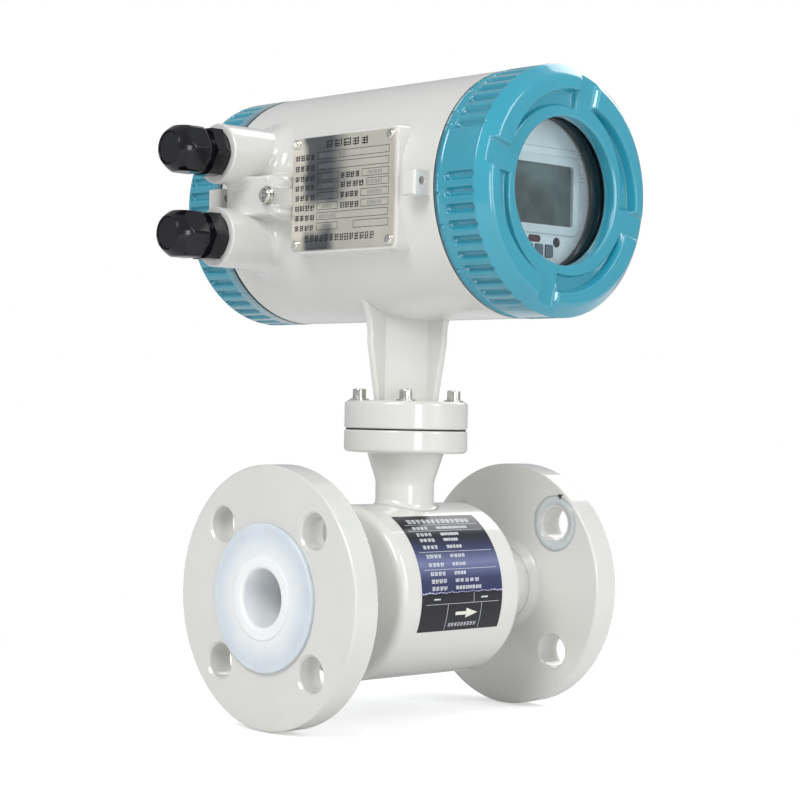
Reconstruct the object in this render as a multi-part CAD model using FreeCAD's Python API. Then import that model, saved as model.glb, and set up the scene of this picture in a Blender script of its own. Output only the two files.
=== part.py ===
"""Electromagnetic flow meter: a flanged, PTFE-lined DN 32 measuring tube with its field coils,
carrying a two-compartment converter with a windowed front cover and two cable glands.

Frame: origin at the centre of the flow bore, halfway between the flanges.  +X is the flow
direction, +Z points up the neck, and the display faces -Y.  All lengths are in millimetres.
"""
import FreeCAD, Part
import math
import os

# ---------------------------------------------------------------- driving dimensions: sensor
FACE_TO_FACE = 200.0        # over the two liner faces
BORE_RADIUS = 15.0          # inside of the liner
LINER_WALL = 3.0
LINER_FACE_RADIUS = 37.8    # flared sealing face
LINER_FACE_THICKNESS = 3.0
LINER_RING_RADIUS = 21.5    # raised ring round the bore
LINER_RING_HEIGHT = 0.6
BORE_MOUTH_ROUND = 2.0
TUBE_WALL = 3.2
FLANGE_RADIUS = 67.5
FLANGE_THICKNESS = 15.6
FLANGE_EDGE = 1.0           # bevel round the flange rim
BOLT_CIRCLE_RADIUS = 50.0
BOLT_HOLE_RADIUS = 9.0
BOLT_HOLES = 4
BOLT_HOLE_BEVEL = 1.2
SPOT_FACE_RADIUS = 15.6     # shallow machined seat round one hole of the outlet flange
SPOT_FACE_DEPTH = 0.6
WELD_LEG = 4.0
COIL_CASE_RADIUS = 46.3
COIL_CASE_HALF_LENGTH = 44.6
COIL_CASE_WALL = 3.0
COIL_CASE_ROUND = 4.5
COIL_CASE_INNER_ROUND = 1.5
CASE_CLEARANCE = 0.15       # sliding fit of welded and slipped-on rings

SHOE_THICKNESS = 2.6
SHOE_LENGTH = 54.0
SHOE_WIDTH = 42.0
SHOE_CORNER = 4.0
COIL_THICKNESS = 6.0
COIL_LENGTH = 52.0
COIL_WIDTH = 42.0
COIL_SIDE = 10.0            # width of the winding all round its opening
COIL_CLEARANCE = 0.3
YOKE_THICKNESS = 2.0
YOKE_LENGTH = 58.0
CABLE_RADIUS = 2.5
CABLE_HOLE_CLEARANCE = 1.0

ELECTRODE_HEAD_RADIUS = 4.0
ELECTRODE_HEAD_THICKNESS = 1.5
ELECTRODE_STEM_RADIUS = 1.9
ELECTRODE_STEM_LENGTH = 13.0
ELECTRODE_FLUSH_GAP = 0.15  # the head lies just behind the bore surface
ELECTRODE_FIT = 0.1
BUSH_RADIUS = 3.6
BUSH_COLLAR_RADIUS = 5.6
BUSH_COLLAR_THICKNESS = 2.4
ELECTRODE_NUT_RADIUS = 3.9
ELECTRODE_NUT_THICKNESS = 3.2

# ---------------------------------------------------------------- driving dimensions: neck joint
NECK_SEAM_Z = 85.7          # top of the sensor's neck flange
NECK_FLANGE_RADIUS = 33.2
SENSOR_NECK_FLANGE_THICKNESS = 12.0
HOUSING_NECK_FLANGE_THICKNESS = 14.9
NECK_FLANGE_ROUND = 2.2
NECK_GASKET_THICKNESS = 0.7
NECK_GASKET_INSET = 0.9
SENSOR_NECK_RADIUS = 15.75
SENSOR_NECK_TOP_RADIUS = 20.8
SENSOR_NECK_CONE_Z = 58.0   # where the neck begins to widen
SENSOR_NECK_CONE_ROUND = 12.0
SENSOR_NECK_BORE = 9.5
NECK_FOOT_ROUND = 3.5
NECK_SCREW_CIRCLE = 25.4
NECK_SCREWS = 4
NECK_SCREW_RADIUS = 2.0
NECK_SCREW_HEAD_RADIUS = 3.6
NECK_SCREW_HEAD_HEIGHT = 4.2
NECK_SCREW_SOCKET = 1.75
NECK_SCREW_DEPTH = 9.0      # thread in the sensor's flange
NECK_SCREW_CLEARANCE = 0.3
THREAD_FIT = 0.05
WASHER_RADIUS = 5.2
WASHER_THICKNESS = 0.9
SPRING_WASHER_RADIUS = 3.7
SPRING_WASHER_THICKNESS = 1.1
SPRING_WASHER_SPLIT = 0.6
BUNG_THICKNESS = 10.0

# ---------------------------------------------------------------- driving dimensions: converter
CONVERTER_Z = 207.6         # height of the converter axis above the flow axis
BODY_RADIUS = 63.3
BODY_FRONT = 80.7           # distance of the front mouth from the neck axis
BODY_REAR = 83.7            # distance of the rear mouth from the neck axis
BODY_WALL = 6.3
MOUTH_WALL = 4.3            # of the barrel round each threaded mouth
MOUTH_DEPTH = 14.0
PARTITION_Y = 22.0          # front face of the wall between the compartments
PARTITION_THICKNESS = 4.0
FEED_RADIUS = 9.0           # of the block that carries the wires through the partition
FEED_COLLAR_RADIUS = 12.0
FEED_COLLAR_THICKNESS = 2.5
NECK_CORE_HALF_WIDTH = 14.2     # half across the flats of the square neck
NECK_RIB_THICKNESS = 4.2
NECK_RIB_FOOT_REACH = 22.6
NECK_RIB_BEND_REACH = 28.6
NECK_RIB_TOP_REACH = 38.0
NECK_RIB_FLARE = 1.2        # of the sweep where it reaches the barrel's underside
NECK_RIB_SWEEP = 12.0       # height over which a rib sweeps out, below the barrel
NECK_RIB_BITE = 1.5         # of the rib's top corner into the barrel's wall
NECK_RIB_ROUND = 1.4
NECK_BORE = 8.5
CAVITY_ROUND = 3.0

PLATE_LENGTH = 76.6
PLATE_HEIGHT = 58.4
PLATE_THICKNESS = 0.8
PLATE_CENTRE_Y = -17.4
PLATE_CORNER = 2.0
PLATE_SCREW_INSET = 2.9
PLATE_SCREW_RADIUS = 1.3
PLATE_SCREW_HEAD_RADIUS = 2.5
PLATE_SCREW_HEAD_HEIGHT = 1.5
PLATE_SCREW_LENGTH = 5.0
PAN_ROUND = 0.6             # of a pan head's height
PAD_PROUD = 1.7             # of the nameplate pad, beyond the barrel's side
PLATE_BED = 0.05            # sealing film between the pad and the nameplate
PAD_EDGE = 0.8
PAD_MARGIN = 1.6
PLATE_END_CLEARANCE = 0.4   # between the nameplate's end and the earth boss
PAD_DRAFT = 2.2
PAD_DEPTH = 25.0

LUG_PROUD = 10.7            # beyond the barrel's side
LUG_LENGTH = 9.6
LUG_HALF_HEIGHT = 6.3
LUG_SETBACK = 2.4           # of the lug from the mouth that it serves
LUG_HOLE_INSET = 5.4        # from the lug's outer face
LUG_HOLE_RISE = 1.2
LUG_HOLE_RADIUS = 2.0
LUG_ROUND = 1.5

GLAND_Y = 53.0
GLAND_OFFSET_Z = 22.0
BOSS_RADIUS = 15.8
BOSS_PROUD = 28.5           # beyond the barrel's side
BOSS_EDGE = 0.8
GLAND_THREAD_RADIUS = 10.0
WEB_PROUD = 14.7            # beyond the barrel's side
WEB_FRONT_Y = 28.0
WEB_REAR_Y = 64.0
WEB_HALF_HEIGHT = 9.0
WEB_ROUND = 6.0
EARTH_Y = 24.3
EARTH_DROP = 1.0            # of the earth boss below the converter axis
EARTH_BOSS_RADIUS = 5.4
EARTH_PROUD = 16.7          # beyond the barrel's side
EARTH_RELIEF_RADIUS = 8.6
EARTH_SCREW_RADIUS = 2.5
EARTH_SCREW_LENGTH = 12.0
EARTH_HEAD_RADIUS = 4.3
EARTH_HEAD_HEIGHT = 2.6
EARTH_WASHER_RADIUS = 4.9
EARTH_WASHER_THICKNESS = 0.9
EARTH_WASHER_CLEARANCE = 0.2
EARTH_RECESS_REACH = 0.55   # of the head's radius, for the cross recess
EARTH_RECESS_WIDTH = 0.24   # of the head's radius

# ---------------------------------------------------------------- driving dimensions: covers
COVER_OVERHANG = 0.3        # of the covers beyond the barrel
COVER_SIDE = 27.6           # distance of the shoulder's foot from the body's mouth
COVER_HEIGHT = 33.8         # distance of the lobes' tops from the body's mouth
COVER_SLOPE = 6.4           # width of the slope from the shoulder to the lobes
COVER_RING_HEIGHT = 31.0    # distance of the ring round the window from the mouth
COVER_RING_WIDTH = 9.2      # of the ring round the window
COVER_THREAD_CLEARANCE = 0.3
COVER_SKIRT_WALL = 3.2
COVER_SKIRT_LENGTH = 12.5
SEAL_THICKNESS = 1.3
SEAL_INSET = 0.4
COVER_CLOCKING = 165.0      # angle of the first channel in the cover's face
CHANNELS = 4
CHANNEL_WIDTH = 12.5
POCKET_DEPTH = 2.8          # of the crescent pockets, below the ring
POCKET_SHARE = 0.43         # of a lobe's width taken by a crescent's wide end
GROOVES = 10                # in each quarter of the side
GROOVE_PITCH = 7.3          # degrees
GROOVE_START = 8.3          # distance of the grooves' ends from the mouth
GROOVE_END = 27.2
GROOVE_RADIUS = 2.15
GROOVE_DEPTH = 2.0
GROOVE_POINT = 1.8          # length of a groove's tapered ends
WINDOW_RADIUS = 37.3
WINDOW_EDGE = 0.8
GLASS_RADIUS = 42.0
SEAT_WALL = 5.0             # of the rim that holds the glass
SEAT_DEPTH = 12.8           # distance of that rim's end from the mouth
COVER_CEILING = 18.0        # distance of the cover's inner face from the mouth
GLASS_THICKNESS = 6.0
GLASS_FRONT = 23.0          # distance of the glass from the mouth
GLASS_CLEARANCE = 0.4
GLASS_GASKET = 1.0
RETAINER_THICKNESS = 4.0
RETAINER_BORE = 38.5
REAR_FACE_HEIGHT = 31.0
REAR_INNER_HEIGHT = 24.0

# ---------------------------------------------------------------- driving dimensions: electronics
PANEL_Y = -92.0             # front of the display panel
PANEL_RADIUS = 42.2
PANEL_THICKNESS = 2.0
LCD_WIDTH = 53.0
LCD_HEIGHT = 31.0
LCD_CORNER = 2.0
BEZEL_WIDTH = 4.5
BEZEL_THICKNESS = 1.0
LCD_RECESS = 0.8            # of the glass behind the panel
LCD_CLEARANCE = 0.25
BOARD_THICKNESS = 1.6
DISPLAY_BOARD_Y = -83.0     # front face of each board
DISPLAY_BOARD_RADIUS = 41.0
MAIN_BOARD_Y = -46.0
POWER_BOARD_Y = -12.0
BOARD_CLEARANCE = 5.0       # between a board and the barrel's inside
POST_RADIUS = 2.75
POST_STUD_RADIUS = 1.4
POST_CIRCLE = 37.5
POST_ANGLE = 90.0           # of the first post, from +X towards +Z
POSTS = 3
PILLAR_X = 34.5             # of the panel's pillars, left and right of the converter axis
PILLAR_Z = 17.0             # above and below it
BASE_SCREW_HEAD = 2.6
BASE_SCREW_HEAD_HEIGHT = 1.4
LEAD_PLUG_RISE = 12.4       # of the plug above the barrel's inner underside
LEAD_PLUG_HEIGHT = 10.0
LEAD_PLUG_WIDTH = 16.0
KEYS = 4
KEY_PITCH = 7.5
KEY_ROW_X = -1.95
KEY_ROW_Z = -28.7           # below the converter axis
KEY_WIDTH = 5.3
KEY_HEIGHT = 6.2
KEY_CORNER = 0.8
KEY_PROUD = 0.9
KEY_TRAVEL = 0.6
KEY_FLANGE = 0.7
KEY_STEM = 1.5
KEY_OVERTRAVEL = 0.2        # left between a pressed key and its switch
KEY_CLEARANCE = 0.3
LAMP_X = -1.5
LAMP_Z = -22.8
LAMP_LENGTH = 9.4
LAMP_HEIGHT = 3.7
LAMP_ROUNDNESS = 0.49        # of the lamp's corners, as a share of its height
EYE_X = 15.3
EYE_Z = -23.9
EYE_RADIUS = 2.6
TRANSFORMER = (34.0, 24.0, 28.0)
CAPACITOR_RADIUS = 8.0
CAPACITOR_LENGTH = 22.0
CAPACITOR_X = 20.0
CAPACITOR_Z = 12.0          # above and below the converter axis
TRANSFORMER_X = -21.0
TRANSFORMER_RISE = 6.0
CHIPS = ((-12.0, 8.0, 14.0), (16.0, -10.0, 10.0), (-10.0, -20.0, 8.0))  # x, z and side
CHIP_SLENDERNESS = 8.0      # side over height
TERMINALS = 12
TERMINAL_PITCH = 6.0
TERMINAL_BLOCK_DEPTH = 13.0
TERMINAL_BLOCK_HEIGHT = 15.0
TERMINAL_SCREW_RADIUS = 1.9
TERMINAL_WELL = 6.0          # depth of the screw wells
TERMINAL_WALL = 0.7
TERMINAL_SCREW_SHARE = 0.7   # of the well's depth filled by the screw
TERMINAL_BASE_CLEARANCE = 7.0
TERMINAL_BASE_THICKNESS = 3.0

# ---------------------------------------------------------------- driving dimensions: cable glands
GLAND_WASHER_THICKNESS = 1.6
GLAND_WASHER_RADIUS = 12.0
GLAND_HEX = 24.0            # across flats
GLAND_HEX_LENGTH = 7.6
GLAND_HEX_BEVEL = 0.2       # of the way from flat to corner, where the bevel starts
GLAND_SHANK = 11.0
GLAND_NECK_RADIUS = 10.2
GLAND_NECK_LENGTH = 12.5
GLAND_BORE = 7.0
NUT_GAP = 4.0               # between the gland's hexagon and its cap nut
NUT_HEX = 24.2
NUT_LENGTH = 18.0
NUT_WALL = 5.0              # of the dome, over the plug's shoulder
NUT_CORNER_RADIUS = 13.0
NUT_DOME = 7.5
NUT_MOUTH_RADIUS = 8.5
NUT_LIP = 1.4
NUT_THREAD_CLEARANCE = 0.3
PLUG_RADIUS = 8.2
PLUG_PROUD = 0.3
PLUG_SHOULDER_RADIUS = 9.2
PLUG_SHOULDER = 2.0
PLUG_TAIL_RADIUS = 4.0
PLUG_TAIL = 9.0
SEAL_CLEARANCE = 0.3
SEAL_RIM_RADIUS = 9.6

LABEL_THICKNESS = 0.25
LABEL_GLUE = 0.05
LABEL_START_X = -31.0
LABEL_END_X = 28.6
LABEL_TOP_ANGLE = 61.0      # degrees above the -Y side
LABEL_BOTTOM_ANGLE = -22.4

# ---------------------------------------------------------------- sizes that follow
TUBE_BORE = BORE_RADIUS + LINER_WALL
TUBE_RADIUS = TUBE_BORE + TUBE_WALL
LINER_FACE_X = FACE_TO_FACE / 2
FLANGE_FACE_X = LINER_FACE_X - LINER_FACE_THICKNESS
FLANGE_BACK_X = FLANGE_FACE_X - FLANGE_THICKNESS
SHOE_INNER = TUBE_RADIUS + COIL_CLEARANCE
COIL_INNER = SHOE_INNER + SHOE_THICKNESS + COIL_CLEARANCE
COIL_OUTER = COIL_INNER + COIL_THICKNESS
YOKE_INNER = COIL_OUTER + COIL_CLEARANCE
SENSOR_NECK_FLANGE_Z = NECK_SEAM_Z - SENSOR_NECK_FLANGE_THICKNESS
HOUSING_FLANGE_Z = NECK_SEAM_Z + NECK_GASKET_THICKNESS
HOUSING_FLANGE_TOP = HOUSING_FLANGE_Z + HOUSING_NECK_FLANGE_THICKNESS
CAVITY_RADIUS = BODY_RADIUS - BODY_WALL
MOUTH_RADIUS = BODY_RADIUS - MOUTH_WALL
PAD_X = BODY_RADIUS + PAD_PROUD
PLATE_X = PAD_X + PLATE_BED
PLATE_REAR_Y = PLATE_CENTRE_Y + PLATE_LENGTH / 2
LUG_REACH = BODY_RADIUS + LUG_PROUD
LUG_HOLE_X = LUG_REACH - LUG_HOLE_INSET
BOSS_REACH = BODY_RADIUS + BOSS_PROUD
WEB_REACH = BODY_RADIUS + WEB_PROUD
EARTH_REACH = BODY_RADIUS + EARTH_PROUD
COVER_RADIUS = BODY_RADIUS + COVER_OVERHANG
COVER_TOP_RADIUS = COVER_RADIUS - COVER_SLOPE
COVER_RING_RADIUS = WINDOW_RADIUS + COVER_RING_WIDTH
COVER_SKIRT_RADIUS = MOUTH_RADIUS - COVER_THREAD_CLEARANCE
COVER_SKIRT_BORE = COVER_SKIRT_RADIUS - COVER_SKIRT_WALL
GLASS_POCKET = GLASS_RADIUS + GLASS_CLEARANCE
COVER_INNER_ROUND = (COVER_SKIRT_BORE - GLASS_POCKET - SEAT_WALL) / 4
POCKET_SPREAD = (COVER_TOP_RADIUS - COVER_RING_RADIUS) * POCKET_SHARE
BOARD_RADIUS = CAVITY_RADIUS - BOARD_CLEARANCE
TERMINAL_BASE_RADIUS = CAVITY_RADIUS - TERMINAL_BASE_CLEARANCE
LEAD_PLUG_Z = CONVERTER_Z - CAVITY_RADIUS + LEAD_PLUG_RISE
GLAND_FACE = BOSS_REACH + GLAND_WASHER_THICKNESS
NUT_FACE = GLAND_FACE + GLAND_HEX_LENGTH + NUT_GAP
EARTH_Z = CONVERTER_Z - EARTH_DROP
PLUG_SHOULDER_Z = NUT_FACE + NUT_LENGTH - NUT_WALL - PLUG_SHOULDER
SLACK = 1.0                 # how far a cutting tool runs past the face that it cuts

X_AXIS = FreeCAD.Vector(1, 0, 0)
Y_AXIS = FreeCAD.Vector(0, 1, 0)
Z_AXIS = FreeCAD.Vector(0, 0, 1)
ORIGIN = FreeCAD.Vector(0, 0, 0)
CONVERTER = FreeCAD.Vector(0, 0, CONVERTER_Z)


# ---------------------------------------------------------------- building blocks
def rod(radius, start, length, axis=X_AXIS):
    """A cylinder from a start point along an axis."""
    return Part.makeCylinder(radius, length, start, axis)


def ring(outer, inner, start, length, axis=X_AXIS):
    """A cylinder with a straight hole through it."""
    return rod(outer, start, length, axis).cut(rod(inner, start, length, axis))


def block(low, high):
    """A box between two opposite corners."""
    size = high - low
    return Part.makeBox(size.x, size.y, size.z, low)


def fuse(shapes):
    """One shape from several that meet."""
    return shapes[0].multiFuse(shapes[1:]).removeSplitter()


def rounded_wire(corners):
    """A closed wire in the XZ plane from (x, z, radius) corners, each rounded by a tangent arc."""
    count = len(corners)
    points = [FreeCAD.Vector(corner[0], 0, corner[1]) for corner in corners]
    arcs = []
    for index, (x, z, radius) in enumerate(corners):
        here = points[index]
        if radius == 0:
            arcs.append((here, None, here))
            continue
        back = (points[index - 1] - here).normalize()
        ahead = (points[(index + 1) % count] - here).normalize()
        half = back.getAngle(ahead) / 2
        middle = (back + ahead).normalize()
        centre = here + middle * (radius / math.sin(half))
        cut = radius / math.tan(half)
        arcs.append((here + back * cut, centre - middle * radius, here + ahead * cut))
    edges = []
    for index, (start, middle, end) in enumerate(arcs):
        if middle:
            edges.append(Part.Arc(start, middle, end).toShape())
        following = arcs[(index + 1) % count][0]
        if end.distanceToPoint(following) > 1e-6:
            edges.append(Part.LineSegment(end, following).toShape())
    return Part.Wire(edges)


def turned(corners, origin=ORIGIN, axis=Z_AXIS):
    """A solid of revolution from (radius, height, round) corners, its height along the axis."""
    face = Part.Face(rounded_wire(corners))
    solid = face.revolve(ORIGIN, Z_AXIS, 360)
    solid.Placement = FreeCAD.Placement(origin, FreeCAD.Rotation(Z_AXIS, axis))
    return solid


def rounded_plate(width, height, thickness, corner):
    """A plate lying in XZ, centred on the origin, with rounded corners, its thickness along +Y."""
    x = width / 2
    z = height / 2
    corners = [(-x, -z, corner), (x, -z, corner), (x, z, corner), (-x, z, corner)]
    face = Part.Face(rounded_wire(corners))
    return face.extrude(FreeCAD.Vector(0, thickness, 0))


def hexagon(across_flats, start, length, axis=X_AXIS):
    """A hexagonal bar from a start point along an axis."""
    corner = across_flats / math.sqrt(3)
    turns = [math.radians(60 * k) for k in range(7)]
    points = [FreeCAD.Vector(corner * math.cos(t), corner * math.sin(t), 0) for t in turns]
    solid = Part.Face(Part.makePolygon(points)).extrude(FreeCAD.Vector(0, 0, length))
    solid.Placement = FreeCAD.Placement(start, FreeCAD.Rotation(Z_AXIS, axis))
    return solid


def around(shape, count, axis=X_AXIS, origin=ORIGIN, first=0.0):
    """Copies of a shape at equal angles about an axis."""
    copies = []
    for k in range(count):
        copy = shape.copy()
        copy.rotate(origin, axis, first + 360.0 * k / count)
        copies.append(copy)
    return copies


def moved(shape, offset):
    """A copy of a shape, shifted."""
    copy = shape.copy()
    copy.translate(offset)
    return copy


def facing_front(shape):
    """A shape built along +Z, turned to point out of the converter's front mouth."""
    turn = FreeCAD.Rotation(X_AXIS, Z_AXIS, -Y_AXIS, "ZXY")
    shape.Placement = FreeCAD.Placement(CONVERTER - Y_AXIS * BODY_FRONT, turn)
    return shape


def facing_rear(shape):
    """A shape built along +Z, turned to point out of the converter's rear mouth."""
    turn = FreeCAD.Rotation(-X_AXIS, Z_AXIS, Y_AXIS, "ZXY")
    shape.Placement = FreeCAD.Placement(CONVERTER + Y_AXIS * BODY_REAR, turn)
    return shape


# ---------------------------------------------------------------- sensor
def electrode_axes():
    """The outward directions of the two electrodes."""
    return [-Y_AXIS, Y_AXIS]


def measuring_tube():
    """Stainless tube between the flange faces, with a hole for each electrode's bush."""
    start = -X_AXIS * FLANGE_FACE_X
    tube = ring(TUBE_RADIUS, TUBE_BORE, start, 2 * FLANGE_FACE_X)
    return tube.cut([rod(BUSH_RADIUS, ORIGIN, TUBE_RADIUS + SLACK, axis) for axis in electrode_axes()])


def ptfe_liner():
    """PTFE sleeve flared over both flange faces, with a pocket for each electrode's head."""
    rim = LINER_FACE_X - LINER_RING_HEIGHT
    half = [
        (TUBE_BORE, FLANGE_FACE_X, 0),
        (LINER_FACE_RADIUS, FLANGE_FACE_X, 0),
        (LINER_FACE_RADIUS, rim, 0.6),
        (LINER_RING_RADIUS, rim, 0),
        (LINER_RING_RADIUS, LINER_FACE_X, 0.3),
        (BORE_RADIUS, LINER_FACE_X, BORE_MOUTH_ROUND),
    ]
    other = [(radius, -height, bend) for radius, height, bend in reversed(half)]
    liner = turned(half + other, axis=X_AXIS)
    cuts = []
    for axis in electrode_axes():
        pocket = BORE_RADIUS + ELECTRODE_FLUSH_GAP + ELECTRODE_HEAD_THICKNESS
        cuts.append(rod(ELECTRODE_HEAD_RADIUS + ELECTRODE_FIT, ORIGIN, pocket, axis))
        cuts.append(rod(ELECTRODE_STEM_RADIUS + ELECTRODE_FIT, ORIGIN, TUBE_BORE + SLACK, axis))
    return liner.cut(cuts)


def bolt_holes(start, length, axis):
    """Cutters for the flange's bolt holes, bevelled at both ends."""
    hole = rod(BOLT_HOLE_RADIUS, start, length, axis)
    wide = BOLT_HOLE_RADIUS + BOLT_HOLE_BEVEL
    near = Part.makeCone(wide, BOLT_HOLE_RADIUS, BOLT_HOLE_BEVEL, start, axis)
    far = Part.makeCone(wide, BOLT_HOLE_RADIUS, BOLT_HOLE_BEVEL, start + axis * length, -axis)
    cutter = moved(fuse([hole, near, far]), Z_AXIS * BOLT_CIRCLE_RADIUS)
    return around(cutter, BOLT_HOLES, axis, first=180.0 / BOLT_HOLES)


def flange(axis):
    """Steel flange with its weld to the tube, facing outward along the axis."""
    corners = [
        (TUBE_RADIUS, FLANGE_FACE_X, 0),
        (TUBE_RADIUS, FLANGE_BACK_X - WELD_LEG, 0),
        (TUBE_RADIUS + WELD_LEG, FLANGE_BACK_X, WELD_LEG / 2),
        (FLANGE_RADIUS, FLANGE_BACK_X, FLANGE_EDGE),
        (FLANGE_RADIUS, FLANGE_FACE_X, FLANGE_EDGE),
    ]
    disc = turned(corners, axis=axis)
    return disc.cut(bolt_holes(axis * FLANGE_BACK_X, FLANGE_THICKNESS, axis))


def inlet_flange():
    return flange(-X_AXIS)


def outlet_flange():
    """The downstream flange, with a machined seat round one hole for an earthing strap."""
    place = BOLT_CIRCLE_RADIUS * math.sqrt(0.5)
    centre = FreeCAD.Vector(FLANGE_BACK_X, -place, place)
    return flange(X_AXIS).cut(rod(SPOT_FACE_RADIUS, centre, SPOT_FACE_DEPTH, X_AXIS))


def coil_housing():
    """Welded case round the coils: a rolled shell with two end plates, open below the neck."""
    outside = COIL_CASE_HALF_LENGTH
    inside = outside - COIL_CASE_WALL
    inner = COIL_CASE_RADIUS - COIL_CASE_WALL
    corners = [
        (TUBE_RADIUS, -outside, 0),
        (COIL_CASE_RADIUS, -outside, COIL_CASE_ROUND),
        (COIL_CASE_RADIUS, outside, COIL_CASE_ROUND),
        (TUBE_RADIUS, outside, 0),
        (TUBE_RADIUS, inside, 0),
        (inner, inside, COIL_CASE_INNER_ROUND),
        (inner, -inside, COIL_CASE_INNER_ROUND),
        (TUBE_RADIUS, -inside, 0),
    ]
    case = turned(corners, axis=X_AXIS)
    return case.cut(rod(SENSOR_NECK_BORE, ORIGIN, COIL_CASE_RADIUS + SLACK, Z_AXIS))


def neck_corners(radius, start, length):
    """Upright rods at the four corners of the neck joint."""
    corner = rod(radius, X_AXIS * NECK_SCREW_CIRCLE + Z_AXIS * start, length, Z_AXIS)
    return around(corner, NECK_SCREWS, Z_AXIS, first=180.0 / NECK_SCREWS)


def sensor_neck():
    """Turned neck on the coil case, with a flange tapped for the converter's screws."""
    flange_low = SENSOR_NECK_FLANGE_Z
    corners = [
        (SENSOR_NECK_BORE, 0, 0),
        (SENSOR_NECK_RADIUS, 0, 0),
        (SENSOR_NECK_RADIUS, SENSOR_NECK_CONE_Z, SENSOR_NECK_CONE_ROUND),
        (SENSOR_NECK_TOP_RADIUS, flange_low, 1.5),
        (NECK_FLANGE_RADIUS, flange_low, NECK_FLANGE_ROUND),
        (NECK_FLANGE_RADIUS, NECK_SEAM_Z, NECK_FLANGE_ROUND / 2),
        (SENSOR_NECK_BORE, NECK_SEAM_Z, 0),
    ]
    neck = turned(corners)
    case = rod(COIL_CASE_RADIUS, -X_AXIS * COIL_CASE_HALF_LENGTH, 2 * COIL_CASE_HALF_LENGTH)
    joined = neck.fuse(case)
    foot = [edge for edge in joined.Edges if is_neck_foot(edge)]
    joined = joined.makeFillet(NECK_FOOT_ROUND, foot)
    bore = rod(SENSOR_NECK_BORE, ORIGIN, NECK_SEAM_Z + SLACK, Z_AXIS)
    tapped = neck_corners(NECK_SCREW_RADIUS, NECK_SEAM_Z - NECK_SCREW_DEPTH, NECK_SCREW_DEPTH)
    return joined.cut([case, bore] + tapped)


def is_neck_foot(edge):
    """Whether an edge is the curve where the neck's outside meets the coil case."""
    box = edge.BoundBox
    above = box.ZMin > COIL_CASE_RADIUS / 2
    return above and box.ZMax < COIL_CASE_RADIUS + 0.01 and abs(box.YMax - SENSOR_NECK_RADIUS) < 0.01


def saddle(inner, outer, length, width, corner):
    """A curved plate over the top of the tube, with rounded corners seen from above."""
    plate = rounded_plate(length, width, outer + SLACK, corner)
    plate.rotate(ORIGIN, X_AXIS, 90)
    start = -X_AXIS * (length / 2)
    return ring(outer, inner, start, length).common(plate)


def pole_shoes():
    """Steel saddles that spread the field over and under the tube."""
    shoe = saddle(SHOE_INNER, SHOE_INNER + SHOE_THICKNESS, SHOE_LENGTH, SHOE_WIDTH, SHOE_CORNER)
    return Part.makeCompound([shoe, below(shoe)])


def field_coils():
    """Saddle-shaped windings over and under the tube, open in the middle."""
    outside = saddle(COIL_INNER, COIL_OUTER, COIL_LENGTH, COIL_WIDTH, COIL_SIDE)
    length = COIL_LENGTH - 2 * COIL_SIDE
    width = COIL_WIDTH - 2 * COIL_SIDE
    opening = rounded_plate(length, width, COIL_OUTER + SLACK, COIL_SIDE / 4)
    opening.rotate(ORIGIN, X_AXIS, 90)
    coil = outside.cut(opening)
    return Part.makeCompound([coil, below(coil)])


def below(shape):
    """The same piece on the other side of the tube."""
    copy = shape.copy()
    copy.rotate(ORIGIN, X_AXIS, 180)
    return copy


def magnetic_yoke():
    """Laminated sleeve that closes the field round the coils, open for the lead."""
    outer = YOKE_INNER + YOKE_THICKNESS
    sleeve = ring(outer, YOKE_INNER, -X_AXIS * (YOKE_LENGTH / 2), YOKE_LENGTH)
    return sleeve.cut(rod(CABLE_RADIUS + CABLE_HOLE_CLEARANCE, ORIGIN, outer + SLACK, Z_AXIS))


def electrodes():
    """Headed pins that touch the liquid, their faces just behind the surface of the bore."""
    face = BORE_RADIUS + ELECTRODE_FLUSH_GAP
    back = face + ELECTRODE_HEAD_THICKNESS
    pins = []
    for axis in electrode_axes():
        head = rod(ELECTRODE_HEAD_RADIUS, axis * face, ELECTRODE_HEAD_THICKNESS, axis)
        stem = rod(ELECTRODE_STEM_RADIUS, axis * back, ELECTRODE_STEM_LENGTH, axis)
        pins.append(head.fuse(stem))
    return Part.makeCompound(pins)


def electrode_bushes():
    """Collared bushes that keep the electrodes off the steel tube."""
    bushes = []
    for axis in electrode_axes():
        sleeve = rod(BUSH_RADIUS, axis * TUBE_BORE, TUBE_WALL, axis)
        collar = rod(BUSH_COLLAR_RADIUS, axis * TUBE_RADIUS, BUSH_COLLAR_THICKNESS, axis)
        hole = rod(ELECTRODE_STEM_RADIUS + ELECTRODE_FIT, ORIGIN, COIL_CASE_RADIUS, axis)
        bushes.append(sleeve.fuse(collar).cut(hole).removeSplitter())
    return Part.makeCompound(bushes)


def electrode_nuts():
    nuts = []
    for axis in electrode_axes():
        start = axis * (TUBE_RADIUS + BUSH_COLLAR_THICKNESS)
        body = hexagon(2 * ELECTRODE_NUT_RADIUS, start, ELECTRODE_NUT_THICKNESS, axis)
        nuts.append(body.cut(rod(ELECTRODE_STEM_RADIUS + THREAD_FIT, ORIGIN, COIL_CASE_RADIUS, axis)))
    return Part.makeCompound(nuts)


def sensor_label():
    """Film label wrapped over the side of the coil case."""
    low = COIL_CASE_RADIUS + LABEL_GLUE
    corners = [
        FreeCAD.Vector(LABEL_START_X, 0, low),
        FreeCAD.Vector(LABEL_END_X, 0, low),
        FreeCAD.Vector(LABEL_END_X, 0, low + LABEL_THICKNESS),
        FreeCAD.Vector(LABEL_START_X, 0, low + LABEL_THICKNESS),
    ]
    face = Part.Face(Part.makePolygon(corners + corners[:1]))
    face.rotate(ORIGIN, X_AXIS, 90 - LABEL_TOP_ANGLE)
    return face.revolve(ORIGIN, X_AXIS, LABEL_TOP_ANGLE - LABEL_BOTTOM_ANGLE)


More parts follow.
